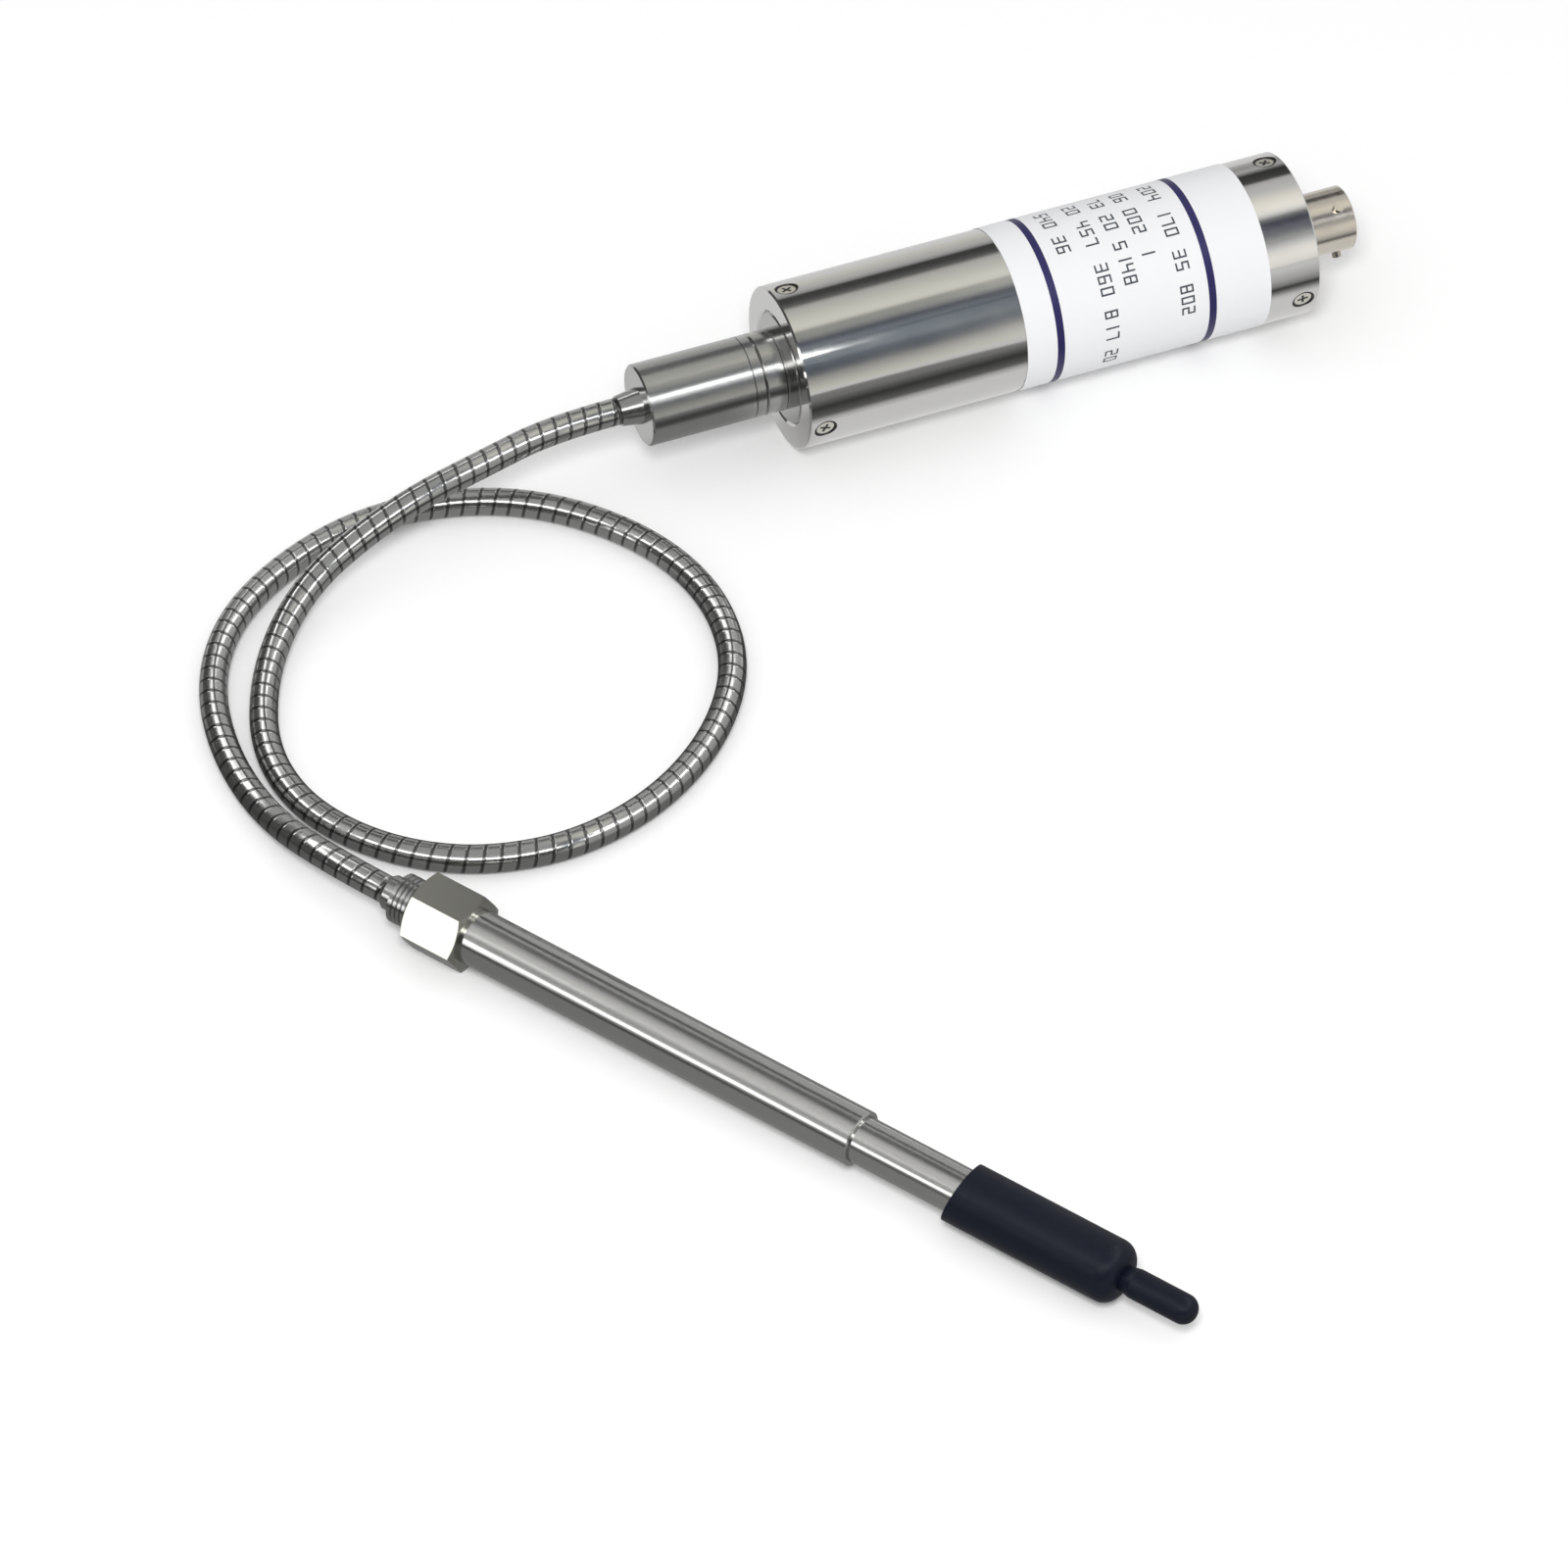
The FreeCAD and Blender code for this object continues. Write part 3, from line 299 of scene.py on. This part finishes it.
def wound_steel():
    """Conduit steel with a slightly sunk seam at each turn of the wound strip, darkened with painted shade
    of the groove.
    """
    made = material("conduit_steel", STRIP_COLOUR, 1.0, 0.16)
    graph = Graph(made.node_tree)
    shader = surface_of(made)
    wound = graph.add("UVMap", uv_map="strip")
    turn_count = graph.split(wound.outputs[0])[0]
    from_middle = graph.calc("ABSOLUTE", graph.calc("SUBTRACT", graph.calc("FRACT", turn_count), 0.5))
    seam = graph.step(from_middle, SEAM_FROM, SEAM_TO)
    # Painted shade darkens the strip's colour at each seam.
    graph.feed(shader.inputs["Base Color"], graph.blend(seam, (*STRIP_COLOUR, 1.0), (*SEAM_SHADE_COLOUR, 1.0)))
    groove = graph.add("Bump", invert=True)
    groove.inputs["Strength"].default_value = SEAM_STRENGTH
    groove.inputs["Distance"].default_value = SEAM_DEPTH
    graph.feed(groove.inputs["Height"], seam)
    graph.feed(shader.inputs["Normal"], groove.outputs["Normal"])
    return made


conduit_steel = wound_steel()

NODE_MATERIALS = {
    "housing_tube": polished, "neck_hub": turned, "neck_tube": turned, "connector_end_plate": turned,
    "neck_end_screws": screw_steel, "connector_end_screws": screw_steel, "neck_end_seal": rubber,
    "connector_end_seal": rubber, "connector_gasket": rubber, "connector_shell": nickel,
    "contact_insert": insulator, "contact_pins": gold, "front_board_carrier": nylon,
    "rear_board_carrier": nylon, "circuit_board": board_green, "amplifier_chips": chip_black,
    "zero_and_span_trimmers": trimmer_blue, "filter_capacitor": can_metal, "sensing_capsule": turned,
    "upper_ferrule": turned, "filled_capillary": turned, "lower_ferrule": turned,
    "ribbed_collar": turned, "hex_nut": nut_steel, "stem_sheath": stem_steel, "stem_core": stem_steel,
    "process_diaphragm": stem_steel, "label_wrap": label_white, "protective_cap": vinyl,
    "flexible_conduit": conduit_steel,
}
for node, made in NODE_MATERIALS.items():
    target = bpy.data.objects[node]
    target.data.materials.clear()
    target.data.materials.append(made)


def piece(name, vertices, faces, made, smooth=True, scale=MM):
    """One new piece; its vertices are in millimetres unless another scale is given."""
    mesh = bpy.data.meshes.new(name)
    mesh.from_pydata([tuple(Vector(v) * scale) for v in vertices], [], faces)
    mesh.update()
    if smooth:
        mesh.polygons.foreach_set("use_smooth", [True] * len(mesh.polygons))
    mesh.materials.append(made)
    thing = bpy.data.objects.new(name, mesh)
    scene.collection.objects.link(thing)
    return thing


# ------------------------------------------------------------------ conduit
PITCH = 3.7 * MM
RING_STEP = 1.4 * MM
ROUND_SIDES = 32


def conduit_mesh(places, ways, total):
    """A round tube along the route; the first layer coordinate counts turns of the wound strip."""
    upright = Vector((0, 0, 1))
    vertices = []
    count = len(places)
    for place, way in zip(places, ways):
        side = way.cross(upright).normalized()
        top = side.cross(way).normalized()
        for j in range(ROUND_SIDES):
            angle = 2 * math.pi * j / ROUND_SIDES
            vertices.append(place + (side * math.cos(angle) + top * math.sin(angle)) * CONDUIT_R * MM)
    faces = []
    layer = []
    turns = total / PITCH / (count - 1)
    for i in range(count - 1):
        for j in range(ROUND_SIDES):
            a = i * ROUND_SIDES + j
            b = i * ROUND_SIDES + (j + 1) % ROUND_SIDES
            faces.append((a, b, b + ROUND_SIDES, a + ROUND_SIDES))
            for row, column in ((i, j), (i, j + 1), (i + 1, j + 1), (i + 1, j)):
                layer.append((row * turns - column / ROUND_SIDES, column / ROUND_SIDES))
    faces.append(tuple(reversed(range(ROUND_SIDES))))
    faces.append(tuple((count - 1) * ROUND_SIDES + j for j in range(ROUND_SIDES)))
    layer += [(0.5, 0.0)] * (2 * ROUND_SIDES)
    return vertices, faces, layer


cord_points, cord_ways, cord_length = resample(conduit_route(), RING_STEP)
vertices, faces, layer = conduit_mesh(cord_points, cord_ways, cord_length)
conduit = piece("strip_wound_conduit", vertices, faces, conduit_steel, scale=1.0)
strip = conduit.data.uv_layers.new(name="strip")
strip.data.foreach_set("uv", [value for pair in layer for value in pair])
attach(conduit, "transmitter")
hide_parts("flexible_conduit")

# ------------------------------------------------------------------ label: two lines and rows of figures
# Angles round the label are in degrees from overhead towards -Y.
PATCH_STEP = 3.0


class Wrap:
    """Thin patches laid on the label, gathered into one mesh."""

    def __init__(self, radius):
        self.radius = radius
        self.vertices = []
        self.faces = []

    def patch(self, x0, x1, turn0, turn1):
        steps = max(1, int(abs(turn1 - turn0) / PATCH_STEP + 0.5))
        first = len(self.vertices)
        for i in range(steps + 1):
            turn = math.radians(turn0 + (turn1 - turn0) * i / steps)
            for x in (x0, x1):
                self.vertices.append((x, -self.radius * math.sin(turn), self.radius * math.cos(turn)))
        for i in range(steps):
            a = first + 2 * i
            self.faces.append((a, a + 2, a + 3, a + 1))

    def add(self, name, made):
        thing = piece(name, self.vertices, self.faces, made)
        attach(thing, "transmitter")


LINE_STATIONS = (61.4, 99.0)
LINE_WIDTH = 1.8
LINE_LIFT = 0.02
lines = Wrap(LABEL_R + LINE_LIFT)
for station in LINE_STATIONS:
    lines.patch(FACE_X + station - LINE_WIDTH / 2, FACE_X + station + LINE_WIDTH / 2, -180.0, 180.0)
lines.add("label_lines", navy)

# Which of the seven strokes each figure uses: a top, b upper right, c lower right, d bottom,
# e lower left, f upper left, g middle.
FIGURES = {"0": "abcdef", "1": "bc", "2": "abged", "3": "abgcd", "4": "fgbc", "5": "afgcd", "6": "afgedc",
           "7": "abc", "8": "abcdefg"}
TALL = 3.3
WIDE = 1.9
STROKE = 0.42
SPACING = 2.75
MM_PER_DEGREE = math.radians(1.0) * LABEL_R
FIGURES_LIFT = 0.03
FACING = 42.9
# Each row: the figures, the distance from the housing's neck end, and the angle from the facing side.
ROWS = (("540 36", 67.2, -70.0), ("20 457", 74.1, -70.0), ("360 81", 74.1, -9.0), ("7 20", 74.1, 41.0),
        ("73 20 5148", 80.1, -70.0), ("06 002 1", 85.9, -70.0), ("204 170 35 802", 92.9, -70.0))


def figures(sheet, text, station, start):
    """Figures that read round the label; their tops point along +X."""
    low = FACE_X + station - TALL / 2
    half = TALL / 2
    thick = STROKE / MM_PER_DEGREE
    for number, mark in enumerate(text):
        if mark == " ":
            continue
        left = start + number * SPACING / MM_PER_DEGREE
        right = left + WIDE / MM_PER_DEGREE
        strokes = {
            "a": (low + TALL - STROKE, low + TALL, left, right),
            "b": (low + half, low + TALL, right - thick, right),
            "c": (low, low + half, right - thick, right),
            "d": (low, low + STROKE, left, right),
            "e": (low, low + half, left, left + thick),
            "f": (low + half, low + TALL, left, left + thick),
            "g": (low + half - STROKE / 2, low + half + STROKE / 2, left, right),
        }
        for key in FIGURES[mark]:
            sheet.patch(*strokes[key])


print_rows = Wrap(LABEL_R + FIGURES_LIFT)
for text, station, start in ROWS:
    figures(print_rows, text, station, FACING + start)
print_rows.add("label_figures", ink)

# ------------------------------------------------------------------ end screws: painted shade for the rim and the cross recess
# SCREW_TOP is how far the heads reach from the housing's axis.  The sizes below it are those of one
# head, and each screw was driven home at its own angle.
SCREW_ANGLES = (-17.1, 102.9, 222.9)
SCREW_INSET = 4.0
SCREW_TOP = 18.7
RIM_IN = 2.1
RIM_OUT = 2.66
RIM_LIFT = 0.02
CROSS_REACH = 1.3
CROSS_HALF_WIDTH = 0.28
CROSS_LIFT = 0.03
CROSS_STAGGER = 0.005
FIRST_SPIN = 25.0
NEXT_SPIN = 40.0


class Discs:
    """Flat sheets of painted shade on the tangent plane over a radial screw, gathered into one mesh."""

    def __init__(self):
        self.vertices = []
        self.faces = []

    def lay(self, x, turn, high, loop):
        angle = math.radians(turn)
        out = Vector((0, -math.sin(angle), math.cos(angle)))
        side = Vector((0, -math.cos(angle), -math.sin(angle)))
        first = len(self.vertices)
        for across, along in loop:
            self.vertices.append(Vector((x + along, 0, 0)) + side * across + out * high)
        self.faces.append(tuple(range(first, first + len(loop))))

    def ring(self, x, turn, high):
        for i in range(ROUND_SIDES):
            a, b = (2 * math.pi * k / ROUND_SIDES for k in (i, i + 1))
            corners = [(RIM_IN, a), (RIM_OUT, a), (RIM_OUT, b), (RIM_IN, b)]
            self.lay(x, turn, high, [(r * math.cos(t), r * math.sin(t)) for r, t in corners])

    def bar(self, x, turn, high, spin):
        """One bar of a cross, turned by an angle in the plane."""
        c = math.cos(spin)
        s = math.sin(spin)
        corners = []
        for end, edge in ((-1, -1), (1, -1), (1, 1), (-1, 1)):
            a = end * CROSS_REACH
            b = edge * CROSS_HALF_WIDTH
            corners.append((c * a - s * b, s * a + c * b))
        self.lay(x, turn, high, corners)


rims = Discs()
recesses = Discs()
for station in (SCREW_INSET, HOUSING_LEN - SCREW_INSET):
    for number, turn in enumerate(SCREW_ANGLES):
        x = FACE_X + station
        rims.ring(x, turn, SCREW_TOP + RIM_LIFT)
        spin = math.radians(FIRST_SPIN + NEXT_SPIN * number + station)
        recesses.bar(x, turn, SCREW_TOP + CROSS_LIFT, spin)
        recesses.bar(x, turn, SCREW_TOP + CROSS_LIFT + CROSS_STAGGER, spin + math.pi / 2)
# The dark rim round each head and the cross in it are flat sheets of painted shade.
for name, shapes in (("screw_rims", rims), ("screw_recesses", recesses)):
    thing = piece(name, shapes.vertices, shapes.faces, painted_screw_shade, smooth=False)
    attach(thing, "transmitter")

# ------------------------------------------------------------------ floor
FLOOR_SIZE = 6.0
FLOOR_DROP = 0.00002
FLOOR_LIFT = 0.08
FLOOR_GREY = 0.86
FLOOR_GREY_VIEWED = 0.93
# Painted reflection of the floor, which glows only for the metal: levels by millimetres in front of
# the housing's axis, from NEAR_FLOOR to FAR_FLOOR, one set at the neck end and one at the connector end.
NEAR_FLOOR = -100.0
FAR_FLOOR = 500.0
WIDE_STRIP = [(-10, 0.78), (31, 0.82), (35, 0.62), (40, 0.16), (48, 0.10), (60, 0.05), (76, 0.12),
              (112, 0.24), (290, 0.30), (340, 0.72)]
THIN_STRIP = [(-10, 0.80), (33, 0.84), (40, 0.30), (47, 0.03), (56, 0.32), (76, 0.54), (110, 0.66),
              (200, 0.80)]
# Where one painted reflection changes to the next, in millimetres along +X, and for the painted shade
# under the neck in millimetres in front of the axis.
WIDE_TO_THIN = (55.0, 85.0)
PAST_LOOP = (-235.0, -205.0)
PAST_LOOP_PAINT = (0.06, 0.06, 0.06, 1.0)
NECK_SIDE = (-45.0, -22.0)
UNDER_NECK = (-10.0, 0.0, 60.0, 90.0)
UNDER_NECK_SHARE = 0.65
UNDER_NECK_PAINTED_SHADE = (0.1, 0.1, 0.1, 1.0)


def painted_floor_reflection(graph, position):
    """The painted reflection of the floor: a wide dark strip on the left, a thin one at the connector
    end, dark past the loop, and painted shade under the neck."""
    across, away, _ = graph.split(position)
    ahead = graph.calc("MULTIPLY", away, -1.0 / MM)
    beside = graph.calc("MULTIPLY", across, 1.0 / MM)
    wide_strip = graph.ramp(ahead, NEAR_FLOOR, FAR_FLOOR, WIDE_STRIP)
    thin_strip = graph.ramp(ahead, NEAR_FLOOR, FAR_FLOOR, THIN_STRIP)
    seen = graph.blend(graph.step(beside, *WIDE_TO_THIN), wide_strip, thin_strip)
    seen = graph.blend(graph.step(beside, *PAST_LOOP), PAST_LOOP_PAINT, seen)
    left_of_face = graph.outside(graph.step(beside, *NECK_SIDE))
    under_neck = graph.calc("MULTIPLY", graph.span(ahead, *UNDER_NECK), left_of_face)
    return graph.blend(graph.calc("MULTIPLY", under_neck, UNDER_NECK_SHARE), seen, UNDER_NECK_PAINTED_SHADE)


def floor_paint():
    """White paint, a little brighter to the viewer, and a glowing painted reflection of the floor for shiny
    pieces.
    """
    made = material("floor_paint", grey(FLOOR_GREY)[:3], 0.0, 0.9, specular=0.0)
    graph = Graph(made.node_tree)
    shader = surface_of(made)
    path = graph.add("LightPath")
    viewed = path.outputs["Is Camera Ray"]
    graph.feed(shader.inputs["Base Color"], graph.blend(viewed, grey(FLOOR_GREY), grey(FLOOR_GREY_VIEWED)))
    shader.inputs["Emission Color"].default_value = WHITE
    graph.feed(shader.inputs["Emission Strength"], graph.calc("MULTIPLY", viewed, FLOOR_LIFT))
    place = graph.add("NewGeometry")
    # For glossy rays only, the floor glows with its painted reflection.
    glow = graph.add("Emission")
    graph.feed(glow.inputs["Color"], painted_floor_reflection(graph, place.outputs["Position"]))
    choose = graph.add("MixShader")
    graph.feed(choose.inputs[0], path.outputs["Is Glossy Ray"])
    graph.feed(choose.inputs[1], shader.outputs[0])
    graph.feed(choose.inputs[2], glow.outputs[0])
    graph.feed(made.node_tree.nodes["Material Output"].inputs["Surface"], choose.outputs[0])
    return made


bpy.ops.mesh.primitive_plane_add(size=FLOOR_SIZE, location=(0, 0, FLOOR_Z * MM - FLOOR_DROP))
floor = bpy.context.object
floor.name = "floor"
floor.data.materials.append(floor_paint())

# ------------------------------------------------------------------ room
# Paint on the walls of the room as the metal sees it.  The bands round the housing go by angle from
# overhead towards -Y, those round the stem by angle from overhead square to the stem, in degrees.
ROOM_LEVEL = 0.70
BAND_SHIFT = 4.5
NECK_END_BANDS = [
    (-110, 0.77, 0.76, 0.70), (-87, 0.75, 0.75, 0.70), (-70, 0.58), (-64, 0.42), (-60, 0.05), (-50, 0.08),
    (-42, 0.17), (-37, 0.58, 0.58, 0.55), (-22, 0.77, 0.77, 0.70), (-9, 0.90, 0.90, 0.82),
    (-3, 0.86, 0.86, 0.78), (1, 0.38, 0.39, 0.36), (9, 0.34, 0.35, 0.34), (17, 0.11, 0.12, 0.15),
    (26, 0.09, 0.11, 0.14), (37, 0.15, 0.19, 0.23), (47, 0.10, 0.13, 0.17), (57, 0.10, 0.12, 0.15),
    (62, 0.14, 0.15, 0.17), (68, 0.36, 0.36, 0.35), (80, 0.68, 0.68, 0.62), (90, 0.86, 0.86, 0.78),
    (110, 0.80)]
CONNECTOR_END_BANDS = [
    (-95, 0.60), (-81, 0.37), (-70, 0.54), (-66, 0.30), (-61, 0.04), (-44, 0.07), (-40, 0.60), (-24, 0.72),
    (-11, 1.03, 1.00, 0.92), (1, 1.28, 1.24, 1.16), (8, 1.24, 1.22, 1.12), (13, 0.90), (18, 0.26),
    (24, 0.07, 0.07, 0.10), (35, 0.10, 0.10, 0.14), (41, 0.18, 0.19, 0.21), (46, 0.42), (51, 0.56),
    (57, 0.86), (64, 1.20, 1.17, 1.12), (73, 1.30, 1.28, 1.22), (85, 1.12, 1.09, 1.03), (95, 0.85)]
STEM_BANDS = [
    (-110, 0.36), (-83, 0.42), (-66, 0.47), (-40, 0.48), (-31, 0.42), (-24, 0.14), (-14, 0.08), (-7, 0.22),
    (2, 0.50), (14, 0.72), (27, 0.74), (35, 0.52), (43, 0.36), (52, 0.42), (62, 0.55), (66, 0.9), (68, 3.2),
    (76, 3.2), (79, 0.7), (84, 0.22), (91, 0.10), (100, 0.2)]
# Elsewhere the walls go by height, from -1 underfoot to 1 overhead.
DIM_WALL = [(-0.2, 0.12), (0.45, 0.10), (0.62, 0.18), (0.72, 0.45), (0.88, 0.55), (1.0, 0.50)]
PALE_WALL = [(-0.2, 0.40), (0.50, 0.58), (0.75, 0.62), (1.0, 0.50)]
PALE_SIDE = (0.97, 0.2, 0.0)
DIM_TO_PALE = (-0.05, 0.35)
# How far a direction leans along +X, or along the stem, where the bands for housing or stem are seen.
HOUSE_LEAN = (0.20, 0.24, 0.36, 0.40)
NECK_TO_CONNECTOR = (0.304, 0.318)
STEM_LEAN = (-0.50, -0.46, -0.34, -0.30)
# The patchy middle of the neck end's bands: its degrees, its grain, its share and its colour.
PATCHY_SPAN = (16.0, 26.0, 44.0, 56.0)
PATCHY_GRAIN = 55.0
PATCHY_DETAIL = 4.0
PATCHY_EDGE = (0.42, 0.66)
PATCHY_SHARE = 0.75
PATCHY_PAINT = (0.40, 0.45, 0.50, 1.0)
# A level ring of light at the viewer's height, thinnest straight ahead of the viewer, and cut where
# the bands for the housing take over.
RING_LIGHT = 4.5
RING_HEIGHT = 0.692
RING_THINNEST = 0.009
RING_GROWTH = 0.065
RING_EDGE = (0.8, 1.1)
RING_CUT = (0.215, 0.235, 0.37, 0.40)
VIEWED_WAY = (0.37, 0.929, 0.0)
VIEWED_SLOPE = 0.707

world = bpy.data.worlds.new("studio")
scene.world = world
world.use_nodes = True
world.cycles.sampling_method = "NONE"
world.node_tree.nodes.clear()
room = Graph(world.node_tree)
direction = room.add("TexCoord").outputs["Generated"]
way_x, way_y, way_z = room.split(direction)


def dot(towards):
    """How far the direction looked in points towards another."""
    total = room.calc("MULTIPLY", way_x, towards[0])
    total = room.calc("ADD", total, room.calc("MULTIPLY", way_y, towards[1]))
    return room.calc("ADD", total, room.calc("MULTIPLY", way_z, towards[2]))


def tilt(sideways):
    """Degrees from overhead towards a horizontal direction."""
    return room.calc("MULTIPLY", room.calc("ARCTAN2", dot(sideways), way_z), 180.0 / math.pi)


def house_bands():
    """Bands round the housing, one set at each end; the middle of the neck end's is patchy."""
    angle = room.calc("SUBTRACT", tilt((0, -1, 0)), BAND_SHIFT)
    neck_end = room.ramp(angle, -180.0, 180.0, NECK_END_BANDS)
    connector_end = room.ramp(angle, -180.0, 180.0, CONNECTOR_END_BANDS)
    mottle = room.add("TexNoise")
    mottle.inputs["Scale"].default_value = PATCHY_GRAIN
    mottle.inputs["Detail"].default_value = PATCHY_DETAIL
    room.feed(mottle.inputs["Vector"], direction)
    middle = room.span(angle, *PATCHY_SPAN)
    patchy = room.calc("MULTIPLY", room.step(mottle.outputs["Fac"], *PATCHY_EDGE), middle)
    neck_end = room.blend(room.calc("MULTIPLY", patchy, PATCHY_SHARE), neck_end, PATCHY_PAINT)
    return room.blend(room.step(way_x, *NECK_TO_CONNECTOR), neck_end, connector_end)


def plain_walls():
    """Dim on the left and pale on the right."""
    dim = room.ramp(way_z, -1.0, 1.0, DIM_WALL)
    pale = room.ramp(way_z, -1.0, 1.0, PALE_WALL)
    return room.blend(room.step(dot(PALE_SIDE), *DIM_TO_PALE), dim, pale)


def ring_of_light():
    """The share of the ring, which draws a fine white line along the conduit whichever way it runs."""
    onward = room.calc("MULTIPLY", dot(VIEWED_WAY), VIEWED_SLOPE)
    turned_away = room.calc("SQRT", room.calc("MAXIMUM", room.calc("SUBTRACT", 0.5, onward), 0.0))
    half = room.calc("ADD", room.calc("MULTIPLY", turned_away, RING_GROWTH), RING_THINNEST)
    off = room.calc("ABSOLUTE", room.calc("SUBTRACT", way_z, RING_HEIGHT))
    return room.outside(room.step(room.calc("DIVIDE", off, half), *RING_EDGE))


near_stem = room.span(dot(STEM_DIR), *STEM_LEAN)
near_house = room.span(way_x, *HOUSE_LEAN)
stem_bands = room.ramp(tilt(STEM_SIDE), -180.0, 180.0, STEM_BANDS)
walls = room.blend(near_house, room.blend(near_stem, plain_walls(), stem_bands), house_bands())
ring = room.calc("MULTIPLY", ring_of_light(), room.outside(near_stem))
ring = room.calc("MULTIPLY", ring, room.outside(room.span(way_x, *RING_CUT)))
walls = room.blend(ring, walls, grey(RING_LIGHT))
ray = room.add("LightPath")
light = room.blend(ray.outputs["Is Camera Ray"], grey(ROOM_LEVEL), WHITE)
light = room.blend(ray.outputs["Is Glossy Ray"], light, walls)
background = room.add("Background")
room.feed(background.inputs["Color"], light)
room.feed(room.add("OutputWorld").inputs["Surface"], background.outputs[0])


# ------------------------------------------------------------------ lamps
def lamp(name, place, aim, size, size_y, power):
    data = bpy.data.lights.new(name, "AREA")
    data.shape = "RECTANGLE"
    data.size = size
    data.size_y = size_y
    data.energy = power
    thing = bpy.data.objects.new(name, data)
    thing.location = place
    thing.rotation_euler = (Vector(aim) - Vector(place)).to_track_quat("-Z", "Y").to_euler()
    scene.collection.objects.link(thing)
    return thing


def glint(name, spot, way, gap, size, size_y, level):
    """A small lamp that lights only shiny surfaces, a gap away from the spot where it is seen."""
    place = spot * MM + Vector(way).normalized() * gap
    power = level * math.pi * size * size_y
    lamp(name, place, spot * MM, size, size_y, power).visible_diffuse = False


# The key lamp casts the soft shadows; the metal doesn't show it.  Metres and watts.
KEY_PLACE = (-0.45, -0.95, 1.25)
KEY_AIM = (-0.07, -0.11, 0.0)
KEY_SIZE = 0.40
KEY_POWER = 12.0
lamp("key_lamp", KEY_PLACE, KEY_AIM, KEY_SIZE, KEY_SIZE, KEY_POWER).visible_glossy = False

# Bright spots on the neck and on a facet of the nut: the spot in millimetres, the way to the lamp,
# the gap and the lamp's two sizes in metres, and its level.
NECK_SPOT = Vector((-51.0, -6.0, 6.5))
NUT_SPOT = STEM_BASE - STEM_DIR * (NUT_LEN / 2 + 2.0) + Vector((-5.8, -3.7, 4.0))
glint("neck_glint", NECK_SPOT, (0.265, -0.594, 0.76), 0.40, 0.036, 0.06, 6.0)
glint("nut_glint", NUT_SPOT, (-0.985, -0.117, 0.111), 0.30, 0.036, 0.034, 2.5)
